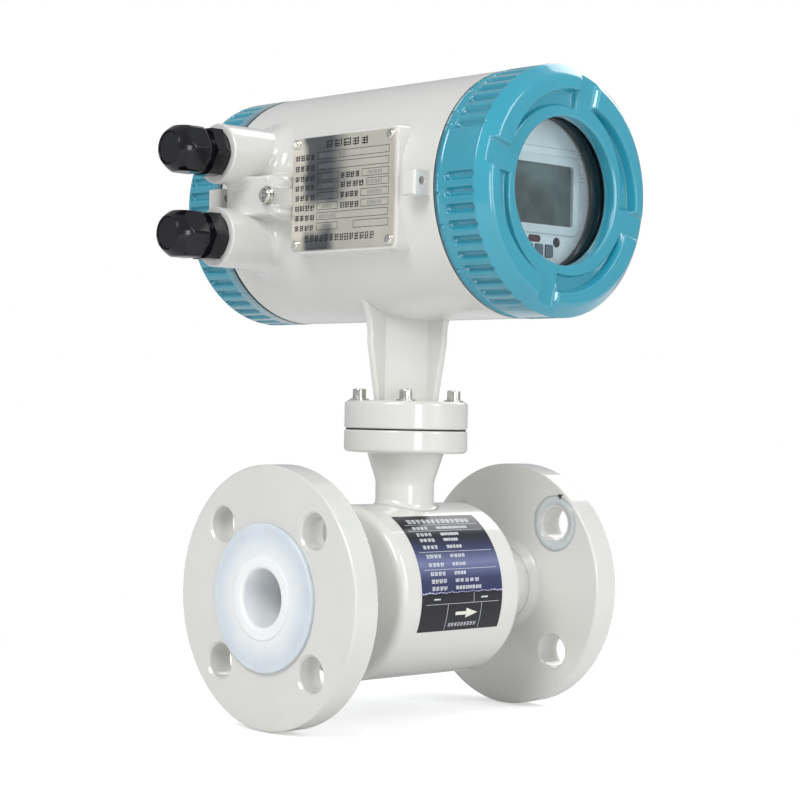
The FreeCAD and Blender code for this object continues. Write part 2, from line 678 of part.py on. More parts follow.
def sensor_cable():
    """Sheathed lead from the coils and electrodes up the neck to the power board's plug."""
    low = YOKE_INNER + YOKE_THICKNESS
    return rod(CABLE_RADIUS, Z_AXIS * low, LEAD_PLUG_Z - low, Z_AXIS)


def neck_bung():
    """Rubber bung that seals the lead in the sensor's neck."""
    start = Z_AXIS * (NECK_SEAM_Z - BUNG_THICKNESS)
    return ring(SENSOR_NECK_BORE, CABLE_RADIUS, start, BUNG_THICKNESS, Z_AXIS)


# ---------------------------------------------------------------- neck joint
def neck_gasket():
    start = Z_AXIS * NECK_SEAM_Z
    outer = NECK_FLANGE_RADIUS - NECK_GASKET_INSET
    disc = ring(outer, SENSOR_NECK_BORE, start, NECK_GASKET_THICKNESS, Z_AXIS)
    radius = NECK_SCREW_RADIUS + NECK_SCREW_CLEARANCE
    return disc.cut(neck_corners(radius, NECK_SEAM_Z, NECK_GASKET_THICKNESS))


def neck_washers():
    """Flat washers under the neck's four screws."""
    outer = neck_corners(WASHER_RADIUS, HOUSING_FLANGE_TOP, WASHER_THICKNESS)
    radius = NECK_SCREW_RADIUS + NECK_SCREW_CLEARANCE
    inner = neck_corners(radius, HOUSING_FLANGE_TOP, WASHER_THICKNESS)
    return Part.makeCompound([disc.cut(hole) for disc, hole in zip(outer, inner)])


def neck_spring_washers():
    """Split spring washers between the flat washers and the screw heads."""
    low = HOUSING_FLANGE_TOP + WASHER_THICKNESS
    washers = []
    for k in range(NECK_SCREWS):
        centre = X_AXIS * NECK_SCREW_CIRCLE + Z_AXIS * low
        inner = NECK_SCREW_RADIUS + NECK_SCREW_CLEARANCE
        washer = ring(SPRING_WASHER_RADIUS, inner, centre, SPRING_WASHER_THICKNESS, Z_AXIS)
        corner = centre - Y_AXIS * (SPRING_WASHER_SPLIT / 2)
        size = FreeCAD.Vector(SPRING_WASHER_RADIUS + SLACK, SPRING_WASHER_SPLIT, SPRING_WASHER_THICKNESS)
        washer = washer.cut(block(corner, corner + size))
        washer.rotate(ORIGIN, Z_AXIS, 360.0 * (k + 0.5) / NECK_SCREWS)
        washers.append(washer)
    return Part.makeCompound(washers)


def neck_screws():
    """Socket head cap screws through the converter's flange into the sensor's."""
    seat = HOUSING_FLANGE_TOP + WASHER_THICKNESS + SPRING_WASHER_THICKNESS
    tip = NECK_SEAM_Z - NECK_SCREW_DEPTH + SLACK
    corners = [
        (0, tip, 0),
        (NECK_SCREW_RADIUS - THREAD_FIT, tip, 0.4),
        (NECK_SCREW_RADIUS - THREAD_FIT, seat, 0),
        (NECK_SCREW_HEAD_RADIUS, seat, 0),
        (NECK_SCREW_HEAD_RADIUS, seat + NECK_SCREW_HEAD_HEIGHT, 0.6),
        (0, seat + NECK_SCREW_HEAD_HEIGHT, 0),
    ]
    screw = turned(corners)
    depth = NECK_SCREW_HEAD_HEIGHT / 2
    start = Z_AXIS * (seat + NECK_SCREW_HEAD_HEIGHT - depth)
    screw = screw.cut(hexagon(2 * NECK_SCREW_SOCKET, start, depth + SLACK, Z_AXIS))
    screw = moved(screw, X_AXIS * NECK_SCREW_CIRCLE)
    return Part.makeCompound(around(screw, NECK_SCREWS, Z_AXIS, first=180.0 / NECK_SCREWS))


# ---------------------------------------------------------------- converter housing
def barrel():
    """The cast cylinder, solid, its axis along Y."""
    corners = [
        (0, -BODY_FRONT, 0),
        (BODY_RADIUS, -BODY_FRONT, 0.6),
        (BODY_RADIUS, BODY_REAR, 0.6),
        (0, BODY_REAR, 0),
    ]
    return turned(corners, CONVERTER, Y_AXIS)


def barrel_cavity():
    """The two compartments inside the barrel, each with a mouth threaded for its cover."""
    back = PARTITION_Y + PARTITION_THICKNESS
    front = [
        (0, -BODY_FRONT - SLACK, 0),
        (MOUTH_RADIUS, -BODY_FRONT - SLACK, 0),
        (MOUTH_RADIUS, -BODY_FRONT + MOUTH_DEPTH, 0),
        (CAVITY_RADIUS, -BODY_FRONT + MOUTH_DEPTH, 0),
        (CAVITY_RADIUS, PARTITION_Y, CAVITY_ROUND),
        (0, PARTITION_Y, 0),
    ]
    rear = [
        (0, back, 0),
        (CAVITY_RADIUS, back, CAVITY_ROUND),
        (CAVITY_RADIUS, BODY_REAR - MOUTH_DEPTH, 0),
        (MOUTH_RADIUS, BODY_REAR - MOUTH_DEPTH, 0),
        (MOUTH_RADIUS, BODY_REAR + SLACK, 0),
        (0, BODY_REAR + SLACK, 0),
    ]
    return [turned(corners, CONVERTER, Y_AXIS) for corners in (front, rear)]


def neck_flange():
    """Round flange at the foot of the converter."""
    corners = [
        (0, HOUSING_FLANGE_Z, 0),
        (NECK_FLANGE_RADIUS, HOUSING_FLANGE_Z, NECK_FLANGE_ROUND / 2),
        (NECK_FLANGE_RADIUS, HOUSING_FLANGE_TOP, NECK_FLANGE_ROUND),
        (0, HOUSING_FLANGE_TOP, 0),
    ]
    return turned(corners)


def neck_core():
    """Square hollow column, its flats towards the screws."""
    half = NECK_CORE_HALF_WIDTH
    low = FreeCAD.Vector(-half, -half, HOUSING_FLANGE_TOP - SLACK)
    column = block(low, FreeCAD.Vector(half, half, CONVERTER_Z))
    column.rotate(ORIGIN, Z_AXIS, 45)
    return column


def neck_rib(angle):
    """One of the four thin ribs, leaning out and sweeping into the barrel."""
    low = HOUSING_FLANGE_TOP - SLACK
    underside = CONVERTER_Z - BODY_RADIUS
    lean = FreeCAD.Vector(NECK_RIB_FOOT_REACH, 0, low)
    bend = FreeCAD.Vector(NECK_RIB_BEND_REACH, 0, underside - NECK_RIB_SWEEP)
    rise = BODY_RADIUS - math.sqrt(BODY_RADIUS ** 2 - NECK_RIB_TOP_REACH ** 2) + NECK_RIB_BITE
    top = FreeCAD.Vector(NECK_RIB_TOP_REACH, 0, underside + rise)
    half_way = FreeCAD.Vector(NECK_RIB_BEND_REACH + NECK_RIB_FLARE, 0, underside)
    inner = FreeCAD.Vector(0, 0, underside + rise)
    edges = [
        Part.LineSegment(FreeCAD.Vector(0, 0, low), lean).toShape(),
        Part.LineSegment(lean, bend).toShape(),
        Part.Arc(bend, half_way, top).toShape(),
        Part.LineSegment(top, inner).toShape(),
        Part.LineSegment(inner, FreeCAD.Vector(0, 0, low)).toShape(),
    ]
    rib = Part.Face(Part.Wire(edges)).extrude(Y_AXIS * NECK_RIB_THICKNESS)
    rib.translate(-Y_AXIS * (NECK_RIB_THICKNESS / 2))
    outer = [edge for edge in rib.Edges if is_rib_edge(edge)]
    rib = rib.makeFillet(NECK_RIB_ROUND, outer)
    rib.rotate(ORIGIN, Z_AXIS, angle)
    return rib


def is_rib_edge(edge):
    """Whether an edge runs up the outer side of a rib."""
    box = edge.BoundBox
    upright = box.YLength < SLACK and box.ZLength > NECK_RIB_THICKNESS
    return upright and box.XMin > NECK_RIB_FOOT_REACH - SLACK


def nameplate_pad():
    """Drafted pad with a flat face for the nameplate."""
    sections = []
    for depth, grow in ((PAD_X, 0), (PAD_X - PAD_DEPTH, PAD_DRAFT)):
        width = PLATE_LENGTH + 2 * (PAD_MARGIN + grow)
        height = PLATE_HEIGHT + 2 * (PAD_MARGIN + grow)
        sections.append(plate_outline(width, height, PLATE_CORNER + PAD_MARGIN + grow, depth))
    pad = Part.makeLoft(sections, True, True)
    rim = [edge for edge in pad.Edges if edge.BoundBox.XMax < SLACK / 2 - PAD_X]
    return pad.makeFillet(PAD_EDGE, rim)


def plate_outline(width, height, corner, reach):
    """A rounded rectangle about the nameplate's centre, facing -X at a distance from the axis."""
    y = width / 2
    z = height / 2
    wire = rounded_wire([(-y, -z, corner), (y, -z, corner), (y, z, corner), (-y, z, corner)])
    wire.rotate(ORIGIN, Z_AXIS, 90)
    wire.translate(FreeCAD.Vector(-reach, PLATE_CENTRE_Y, CONVERTER_Z))
    return wire


def lock_lugs():
    """Eared lugs beside the covers, each drilled along Y for a sealing wire."""
    lugs = []
    for start in (-BODY_FRONT + LUG_SETBACK, BODY_REAR - LUG_SETBACK - LUG_LENGTH):
        low = FreeCAD.Vector(-LUG_REACH, start, CONVERTER_Z - LUG_HALF_HEIGHT)
        high = FreeCAD.Vector(-CAVITY_RADIUS, start + LUG_LENGTH, CONVERTER_Z + LUG_HALF_HEIGHT)
        lug = block(low, high)
        outer = [edge for edge in lug.Edges if edge.BoundBox.XMax < -LUG_REACH + 0.01]
        lug = lug.makeFillet(LUG_ROUND, outer)
        hole = FreeCAD.Vector(-LUG_HOLE_X, start - SLACK, CONVERTER_Z + LUG_HOLE_RISE)
        lugs.append(lug.cut(rod(LUG_HOLE_RADIUS, hole, LUG_LENGTH + 2 * SLACK, Y_AXIS)))
    return lugs


def gland_centres():
    """The two cable entries, one above the other, on the converter's axis plane."""
    return [FreeCAD.Vector(0, GLAND_Y, CONVERTER_Z + side * GLAND_OFFSET_Z) for side in (1, -1)]


def gland_bosses():
    """Round bosses for the cable glands, with the web and the earth boss beside them."""
    shapes = []
    for centre in gland_centres():
        rim = (BOSS_RADIUS, BOSS_REACH, BOSS_EDGE)
        shapes.append(turned([(0, 0, 0), (BOSS_RADIUS, 0, 0), rim, (0, BOSS_REACH, 0)], centre, -X_AXIS))
    low = FreeCAD.Vector(-WEB_REACH, WEB_FRONT_Y, CONVERTER_Z - WEB_HALF_HEIGHT)
    high = FreeCAD.Vector(0, WEB_REAR_Y, CONVERTER_Z + WEB_HALF_HEIGHT)
    web = block(low, high)
    rear = [edge for edge in web.Edges if is_web_corner(edge)]
    web = web.makeFillet(WEB_ROUND, rear)
    earth = FreeCAD.Vector(-BODY_RADIUS, EARTH_Y, EARTH_Z)
    web = web.cut(rod(EARTH_RELIEF_RADIUS, earth, WEB_REACH, -X_AXIS))
    boss = rod(EARTH_BOSS_RADIUS, FreeCAD.Vector(0, EARTH_Y, EARTH_Z), EARTH_REACH, -X_AXIS)
    return shapes + [web, boss.cut(plate_relief())]


def plate_relief():
    """The room that the nameplate's end needs beside the earth boss."""
    side = EARTH_BOSS_RADIUS + SLACK
    low = FreeCAD.Vector(-EARTH_REACH - SLACK, EARTH_Y - side, EARTH_Z - side)
    high = FreeCAD.Vector(-PAD_X, PLATE_REAR_Y + PLATE_END_CLEARANCE, EARTH_Z + side)
    return block(low, high)


def is_web_corner(edge):
    """Whether an edge is the upright one at the web's outer rear corner."""
    box = edge.BoundBox
    return box.XMax < -WEB_REACH + 0.01 and box.YMin > WEB_REAR_Y - 0.01


def converter_housing():
    """One aluminium casting: barrel, neck, pad, lugs and bosses, machined inside."""
    ribs = [neck_rib(90 * k) for k in range(4)]
    outside = [barrel(), neck_flange(), neck_core(), nameplate_pad()] + ribs
    outside += lock_lugs() + gland_bosses()
    cuts = barrel_cavity()
    cuts.append(rod(NECK_BORE, Z_AXIS * HOUSING_FLANGE_Z, CONVERTER_Z - HOUSING_FLANGE_Z, Z_AXIS))
    radius = NECK_SCREW_RADIUS + NECK_SCREW_CLEARANCE
    cuts += neck_corners(radius, HOUSING_FLANGE_Z, HOUSING_NECK_FLANGE_THICKNESS)
    for centre in gland_centres():
        cuts.append(rod(GLAND_THREAD_RADIUS, centre, BOSS_REACH + SLACK, -X_AXIS))
    earth = FreeCAD.Vector(-EARTH_REACH, EARTH_Y, EARTH_Z)
    cuts.append(rod(EARTH_SCREW_RADIUS, earth, EARTH_SCREW_LENGTH + SLACK, X_AXIS))
    for spot in plate_screw_spots(PAD_X):
        cuts.append(rod(PLATE_SCREW_RADIUS, spot, PLATE_SCREW_LENGTH, X_AXIS))
    feed = CONVERTER + Y_AXIS * PARTITION_Y
    cuts.append(rod(FEED_RADIUS, feed, PARTITION_THICKNESS, Y_AXIS))
    for spot in post_spots(PARTITION_Y):
        cuts.append(rod(POST_STUD_RADIUS, spot, PARTITION_THICKNESS, Y_AXIS))
    return fuse(outside).cut(cuts)


def plate_screw_spots(reach):
    """The nameplate's screw centres, at a distance from the converter axis."""
    y = PLATE_LENGTH / 2 - PLATE_SCREW_INSET
    z = PLATE_HEIGHT / 2 - PLATE_SCREW_INSET
    centre = FreeCAD.Vector(-reach, PLATE_CENTRE_Y, CONVERTER_Z)
    return [centre + Y_AXIS * (y * j) + Z_AXIS * (z * k) for j in (-1, 1) for k in (-1, 1)]


def nameplate():
    """Stainless plate on the pad, bare but for what is engraved on it."""
    face = Part.Face(plate_outline(PLATE_LENGTH, PLATE_HEIGHT, PLATE_CORNER, PLATE_X))
    plate = face.extrude(-X_AXIS * PLATE_THICKNESS)
    spots = plate_screw_spots(PLATE_X)
    holes = [rod(PLATE_SCREW_RADIUS, spot, PLATE_THICKNESS, -X_AXIS) for spot in spots]
    return plate.cut(holes)


def pan_screw(head_radius, head_height, shank_radius, shank_length, seat, axis):
    """A pan head screw, its head outward along the axis from its seat."""
    corners = [
        (0, -shank_length, 0),
        (shank_radius, -shank_length, 0),
        (shank_radius, 0, 0),
        (head_radius, 0, 0),
        (head_radius, head_height, head_height * PAN_ROUND),
        (0, head_height, 0),
    ]
    return turned(corners, seat, axis)


def nameplate_screws():
    screws = []
    for seat in plate_screw_spots(PLATE_X + PLATE_THICKNESS):
        length = PLATE_SCREW_LENGTH + PLATE_THICKNESS - SLACK / 2
        shank = PLATE_SCREW_RADIUS - THREAD_FIT
        head = (PLATE_SCREW_HEAD_RADIUS, PLATE_SCREW_HEAD_HEIGHT)
        screws.append(pan_screw(*head, shank, length, seat, -X_AXIS))
    return Part.makeCompound(screws)


def earth_washer():
    start = FreeCAD.Vector(-EARTH_REACH, EARTH_Y, EARTH_Z)
    hole = EARTH_SCREW_RADIUS + EARTH_WASHER_CLEARANCE
    return ring(EARTH_WASHER_RADIUS, hole, start, EARTH_WASHER_THICKNESS, -X_AXIS)


def earth_screw():
    """Cross-recessed screw for the outside earth lead."""
    seat = FreeCAD.Vector(-EARTH_REACH - EARTH_WASHER_THICKNESS, EARTH_Y, EARTH_Z)
    shank = EARTH_SCREW_RADIUS - THREAD_FIT
    screw = pan_screw(EARTH_HEAD_RADIUS, EARTH_HEAD_HEIGHT, shank, EARTH_SCREW_LENGTH, seat, -X_AXIS)
    reach = EARTH_HEAD_RADIUS * EARTH_RECESS_REACH
    slot = EARTH_HEAD_RADIUS * EARTH_RECESS_WIDTH / 2
    depth = EARTH_HEAD_HEIGHT / 2
    top = seat - X_AXIS * EARTH_HEAD_HEIGHT
    cuts = []
    for wide, tall in ((reach, slot), (slot, reach)):
        low = top - Y_AXIS * wide - Z_AXIS * tall - X_AXIS * SLACK
        high = top + Y_AXIS * wide + Z_AXIS * tall + X_AXIS * depth
        cuts.append(block(low, high))
    return screw.cut(cuts)


# ---------------------------------------------------------------- covers
def side_grooves():
    """Cutters for the grip grooves, in four groups, built about +Z."""
    centre = COVER_RADIUS - GROOVE_DEPTH + GROOVE_RADIUS
    corners = [
        (0, GROOVE_START, 0),
        (GROOVE_RADIUS, GROOVE_START + GROOVE_POINT, 0),
        (GROOVE_RADIUS, GROOVE_END - GROOVE_POINT, 0),
        (0, GROOVE_END, 0),
    ]
    groove = moved(turned(corners), X_AXIS * centre)
    cuts = []
    for quarter in range(CHANNELS):
        middle = COVER_CLOCKING + 360.0 * (quarter + 0.5) / CHANNELS
        for k in range(GROOVES):
            copy = groove.copy()
            copy.rotate(ORIGIN, Z_AXIS, middle + GROOVE_PITCH * (k - (GROOVES - 1) / 2))
            cuts.append(copy)
    return cuts


def face_channel():
    """Cutter for one radial channel across the cover's raised rim, built along +X and +Z."""
    low = FreeCAD.Vector(WINDOW_RADIUS, -CHANNEL_WIDTH / 2, COVER_RING_HEIGHT)
    high = FreeCAD.Vector(COVER_RADIUS, CHANNEL_WIDTH / 2, COVER_HEIGHT + SLACK)
    return block(low, high)


def crescent_pocket():
    """Cutter for one crescent pocket, which widens clockwise from one channel to the next."""
    edge = math.degrees(math.asin(CHANNEL_WIDTH / 2 / COVER_RING_RADIUS))
    begin = -edge
    sweep = 360.0 / CHANNELS - 2 * edge
    start = polar(COVER_RING_RADIUS, begin)
    outer_half = polar(COVER_RING_RADIUS + POCKET_SPREAD / 2, begin - sweep / 2)
    outer_end = polar(COVER_RING_RADIUS + POCKET_SPREAD, begin - sweep)
    inner_half = polar(COVER_RING_RADIUS - POCKET_SPREAD / 2, begin - sweep / 2)
    inner_end = polar(COVER_RING_RADIUS - POCKET_SPREAD, begin - sweep)
    edges = [
        Part.Arc(start, outer_half, outer_end).toShape(),
        Part.LineSegment(outer_end, inner_end).toShape(),
        Part.Arc(inner_end, inner_half, start).toShape(),
    ]
    face = Part.Face(Part.Wire(edges))
    face.translate(Z_AXIS * (COVER_RING_HEIGHT - POCKET_DEPTH))
    return face.extrude(Z_AXIS * (COVER_HEIGHT - COVER_RING_HEIGHT + POCKET_DEPTH + SLACK))


def polar(radius, degrees):
    """A point in the XY plane."""
    turn = math.radians(degrees)
    return FreeCAD.Vector(radius * math.cos(turn), radius * math.sin(turn), 0)


def cover_skirt_corners():
    """The corners that both covers share, from the skirt's inside round to the rim."""
    return [
        (COVER_SKIRT_BORE, -COVER_SKIRT_LENGTH, 0.4),
        (COVER_SKIRT_RADIUS, -COVER_SKIRT_LENGTH, 0.8),
        (COVER_SKIRT_RADIUS, SEAL_THICKNESS, 0),
        (COVER_RADIUS, SEAL_THICKNESS, 0.8),
        (COVER_RADIUS, COVER_SIDE, 1.0),
    ]


def front_cover():
    """Cast screw cover with a window, four raised lobes and crescent pockets on its face."""
    pocket = GLASS_POCKET
    ledge = GLASS_FRONT + GLASS_GASKET
    corners = cover_skirt_corners() + [
        (COVER_TOP_RADIUS, COVER_HEIGHT, 1.0),
        (COVER_RING_RADIUS, COVER_HEIGHT, 0),
        (COVER_RING_RADIUS, COVER_RING_HEIGHT, 0),
        (WINDOW_RADIUS, COVER_RING_HEIGHT, WINDOW_EDGE),
        (WINDOW_RADIUS, ledge, 0),
        (pocket, ledge, 0),
        (pocket, SEAT_DEPTH, 0),
        (pocket + SEAT_WALL, SEAT_DEPTH, 0),
        (pocket + SEAT_WALL, COVER_CEILING, COVER_INNER_ROUND),
        (COVER_SKIRT_BORE, COVER_CEILING, COVER_INNER_ROUND),
    ]
    cover = turned(corners)
    channels = around(face_channel(), CHANNELS, Z_AXIS, first=COVER_CLOCKING)
    pockets = around(crescent_pocket(), CHANNELS, Z_AXIS, first=COVER_CLOCKING)
    return facing_front(cover.cut(side_grooves() + channels + pockets))


def rear_cover():
    """Cast screw cover of the terminal compartment, closed by a plain face."""
    corners = cover_skirt_corners() + [
        (COVER_TOP_RADIUS, COVER_HEIGHT, 1.0),
        (0, COVER_HEIGHT, 0),
        (0, REAR_INNER_HEIGHT, 0),
        (COVER_SKIRT_BORE, REAR_INNER_HEIGHT, COVER_INNER_ROUND),
    ]
    cover = turned(corners)
    recess = rod(COVER_RING_RADIUS, Z_AXIS * REAR_FACE_HEIGHT, COVER_HEIGHT, Z_AXIS)
    channels = around(face_channel(), CHANNELS, Z_AXIS, first=COVER_CLOCKING)
    return facing_rear(cover.cut(side_grooves() + channels + [recess]))


def cover_seal():
    """Rubber ring between a cover's rim and the barrel's mouth, built about +Z."""
    return ring(COVER_RADIUS - SEAL_INSET, MOUTH_RADIUS, ORIGIN, SEAL_THICKNESS, Z_AXIS)


def window_glass():
    """Thick toughened disc."""
    disc = rod(GLASS_RADIUS, Z_AXIS * (GLASS_FRONT - GLASS_THICKNESS), GLASS_THICKNESS, Z_AXIS)
    return facing_front(disc)


def window_gasket():
    inner = WINDOW_RADIUS + GLASS_CLEARANCE
    return facing_front(ring(GLASS_RADIUS, inner, Z_AXIS * GLASS_FRONT, GLASS_GASKET, Z_AXIS))


def window_retaining_ring():
    """Black threaded ring that holds the glass from behind."""
    back = GLASS_FRONT - GLASS_THICKNESS - RETAINER_THICKNESS
    outer = GLASS_POCKET - THREAD_FIT
    return facing_front(ring(outer, RETAINER_BORE, Z_AXIS * back, RETAINER_THICKNESS, Z_AXIS))


# ---------------------------------------------------------------- electronics
def front_disc(radius, y, thickness):
    """A disc about the converter axis, from its front face back."""
    return rod(radius, CONVERTER + Y_AXIS * y, thickness, Y_AXIS)


def panel_spot(x, z, y):
    """A point of the display, given from the converter axis."""
    return CONVERTER + FreeCAD.Vector(x, y, z)


def pillar_spots(y):
    """Centres of the pillars that the display panel is bonded to."""
    return [panel_spot(x, z, y) for x in (-PILLAR_X, PILLAR_X) for z in (-PILLAR_Z, PILLAR_Z)]


def key_spots(y):
    """Centres of the keys at a depth."""
    middle = (KEYS - 1) / 2
    return [panel_spot(KEY_ROW_X + KEY_PITCH * (k - middle), KEY_ROW_Z, y) for k in range(KEYS)]


def display_panel():
    """Brushed front panel with openings for the screen, the lamp, the eye and the keys."""
    disc = front_disc(PANEL_RADIUS, PANEL_Y, PANEL_THICKNESS)
    width = LCD_WIDTH + 2 * LCD_CLEARANCE
    height = LCD_HEIGHT + 2 * LCD_CLEARANCE
    cuts = [moved(rounded_plate(width, height, PANEL_THICKNESS, LCD_CORNER), panel_spot(0, 0, PANEL_Y))]
    lamp = rounded_plate(LAMP_LENGTH, LAMP_HEIGHT, PANEL_THICKNESS, LAMP_HEIGHT * LAMP_ROUNDNESS)
    cuts.append(moved(lamp, panel_spot(LAMP_X, LAMP_Z, PANEL_Y)))
    cuts.append(rod(EYE_RADIUS, panel_spot(EYE_X, EYE_Z, PANEL_Y), PANEL_THICKNESS, Y_AXIS))
    grow = 2 * KEY_CLEARANCE
    for spot in key_spots(PANEL_Y):
        hole = rounded_plate(KEY_WIDTH + grow, KEY_HEIGHT + grow, PANEL_THICKNESS, KEY_CORNER)
        cuts.append(moved(hole, spot))
    return disc.cut(cuts)


def lcd_bezel():
    """Raised frame round the screen."""
    start = panel_spot(0, 0, PANEL_Y - BEZEL_THICKNESS)
    width = LCD_WIDTH + 2 * BEZEL_WIDTH
    height = LCD_HEIGHT + 2 * BEZEL_WIDTH
    frame = rounded_plate(width, height, BEZEL_THICKNESS, LCD_CORNER + BEZEL_WIDTH / 2)
    return moved(frame.cut(rounded_plate(LCD_WIDTH, LCD_HEIGHT, BEZEL_THICKNESS, LCD_CORNER)), start)


def lcd_module():
    """Screen standing on the display board, its glass just behind the panel's face."""
    front = PANEL_Y + LCD_RECESS
    depth = DISPLAY_BOARD_Y - front
    return moved(rounded_plate(LCD_WIDTH, LCD_HEIGHT, depth, LCD_CORNER), panel_spot(0, 0, front))


def status_lamp():
    size = 2 * THREAD_FIT
    depth = DISPLAY_BOARD_Y - PANEL_Y
    height = LAMP_HEIGHT - size
    lens = rounded_plate(LAMP_LENGTH - size, height, depth, height * LAMP_ROUNDNESS)
    return moved(lens, panel_spot(LAMP_X, LAMP_Z, PANEL_Y))


def infrared_eye():
    depth = DISPLAY_BOARD_Y - PANEL_Y
    return rod(EYE_RADIUS - THREAD_FIT, panel_spot(EYE_X, EYE_Z, PANEL_Y), depth, Y_AXIS)


def key_caps():
    """The four keys: a cap through the panel, a flange behind it and a short stem."""
    caps = []
    for spot in key_spots(PANEL_Y):
        front = -Y_AXIS * KEY_PROUD
        cap = rounded_plate(KEY_WIDTH, KEY_HEIGHT, KEY_PROUD + PANEL_THICKNESS, KEY_CORNER)
        grow = 2 * KEY_FLANGE
        rim = rounded_plate(KEY_WIDTH + grow, KEY_HEIGHT + grow, KEY_FLANGE, KEY_CORNER)
        rim.translate(Y_AXIS * PANEL_THICKNESS)
        stem = rod(KEY_WIDTH / 3, Y_AXIS * (PANEL_THICKNESS + KEY_FLANGE), KEY_STEM, Y_AXIS)
        caps.append(moved(fuse([moved(cap, front), rim, stem]), spot))
    return caps


def post_spots(y):
    """Centres of the ring of pillars at a depth."""
    turns = [math.radians(POST_ANGLE + 360.0 * k / POSTS) for k in range(POSTS)]
    return [panel_spot(POST_CIRCLE * math.cos(t), POST_CIRCLE * math.sin(t), y) for t in turns]


def board(radius, y):
    """A round circuit board with holes for the pillars' studs."""
    disc = front_disc(radius, y, BOARD_THICKNESS)
    return disc.cut([rod(POST_STUD_RADIUS, spot, BOARD_THICKNESS, Y_AXIS) for spot in post_spots(y)])


def display_board():
    """Front board with a tact switch soldered behind each key."""
    front = PANEL_Y + PANEL_THICKNESS + KEY_FLANGE + KEY_STEM + KEY_TRAVEL + KEY_OVERTRAVEL
    switch = rounded_plate(KEY_WIDTH, KEY_WIDTH, DISPLAY_BOARD_Y - front, KEY_CORNER)
    switches = [moved(switch, spot) for spot in key_spots(front)]
    return fuse([board(DISPLAY_BOARD_RADIUS, DISPLAY_BOARD_Y)] + switches)


def board_posts():
    """Pillars that carry the three boards and the panel, stacked from the partition forward."""
    back = PANEL_Y + PANEL_THICKNESS
    posts = [rod(POST_RADIUS, spot, DISPLAY_BOARD_Y - back, Y_AXIS) for spot in pillar_spots(back)]
    fronts = [POWER_BOARD_Y, MAIN_BOARD_Y, DISPLAY_BOARD_Y]
    backs = [PARTITION_Y, POWER_BOARD_Y, MAIN_BOARD_Y]
    for front, back in zip(fronts, backs):
        start = front + BOARD_THICKNESS
        for spot in post_spots(start):
            post = rod(POST_RADIUS, spot, back - start, Y_AXIS)
            stud = rod(POST_STUD_RADIUS - THREAD_FIT, spot, BOARD_THICKNESS, -Y_AXIS)
            posts.append(post.fuse(stud))
    return Part.makeCompound(posts)


def main_board():
    """Measuring board with its processor, amplifier and memory soldered on the front."""
    parts = [board(BOARD_RADIUS, MAIN_BOARD_Y)]
    for x, z, side in CHIPS:
        height = side / CHIP_SLENDERNESS
        chip = rounded_plate(side, side, height, side / 20)
        parts.append(moved(chip, panel_spot(x, z, MAIN_BOARD_Y - height)))
    return fuse(parts)


def power_board():
    return board(BOARD_RADIUS, POWER_BOARD_Y)


def transformer():
    """Mains transformer on the front of the power board."""
    width, depth, height = TRANSFORMER
    core = rounded_plate(width, height, depth, 1.0)
    return moved(core, panel_spot(TRANSFORMER_X, TRANSFORMER_RISE, POWER_BOARD_Y - depth))


def capacitors():
    """Two smoothing capacitors beside the transformer."""
    cans = []
    for z in (CAPACITOR_Z, -CAPACITOR_Z):
        foot = panel_spot(CAPACITOR_X, z, POWER_BOARD_Y)
        cans.append(rod(CAPACITOR_RADIUS, foot, CAPACITOR_LENGTH, -Y_AXIS))
    return Part.makeCompound(cans)


def lead_plug():
    """Plug of the sensor's lead, on the back of the power board."""
    y = POWER_BOARD_Y + BOARD_THICKNESS
    low = FreeCAD.Vector(-LEAD_PLUG_WIDTH / 2, y, LEAD_PLUG_Z)
    top = LEAD_PLUG_Z + LEAD_PLUG_HEIGHT
    return block(low, FreeCAD.Vector(LEAD_PLUG_WIDTH / 2, CABLE_RADIUS + CABLE_HOLE_CLEARANCE, top))


def feed_block():
    """Moulded block that carries the wires through the partition."""
    front = CONVERTER + Y_AXIS * (PARTITION_Y - FEED_COLLAR_THICKNESS)
    collar = rod(FEED_COLLAR_RADIUS, front, FEED_COLLAR_THICKNESS, Y_AXIS)
    length = PARTITION_THICKNESS + FEED_COLLAR_THICKNESS
    return collar.fuse(rod(FEED_RADIUS, front, length, Y_AXIS)).removeSplitter()


def terminal_base():
    """Moulded plate over the partition in the terminal compartment."""
    y = PARTITION_Y + PARTITION_THICKNESS
    disc = front_disc(TERMINAL_BASE_RADIUS, y, TERMINAL_BASE_THICKNESS)
    holes = [rod(POST_STUD_RADIUS, spot, TERMINAL_BASE_THICKNESS, Y_AXIS) for spot in post_spots(y)]
    return disc.cut(holes)


def terminal_spots(y):
    """Centres of the terminals, in one row."""
    middle = (TERMINALS - 1) / 2
    return [panel_spot(TERMINAL_PITCH * (k - middle), 0, y) for k in range(TERMINALS)]


def terminal_block():
    """Row of screw terminals, each with a screw well and a wire mouth below."""
    y = PARTITION_Y + PARTITION_THICKNESS + TERMINAL_BASE_THICKNESS
    length = TERMINALS * TERMINAL_PITCH
    body = rounded_plate(length, TERMINAL_BLOCK_HEIGHT, TERMINAL_BLOCK_DEPTH, 0.6)
    body.translate(panel_spot(0, 0, y))
    cuts = []
    for spot in terminal_spots(y + TERMINAL_BLOCK_DEPTH - TERMINAL_WELL):
        cuts.append(rod(TERMINAL_SCREW_RADIUS + THREAD_FIT, spot, TERMINAL_WELL + SLACK, Y_AXIS))
    half = TERMINAL_PITCH / 2 - TERMINAL_WALL
    for spot in terminal_spots(y + TERMINAL_BLOCK_DEPTH / 4):
        low = spot - X_AXIS * half - Z_AXIS * (TERMINAL_BLOCK_HEIGHT / 2 + SLACK)
        high = spot + X_AXIS * half - Z_AXIS * (TERMINAL_BLOCK_HEIGHT / 4) + Y_AXIS * (2 * half)
        cuts.append(block(low, high))
    return body.cut(cuts)


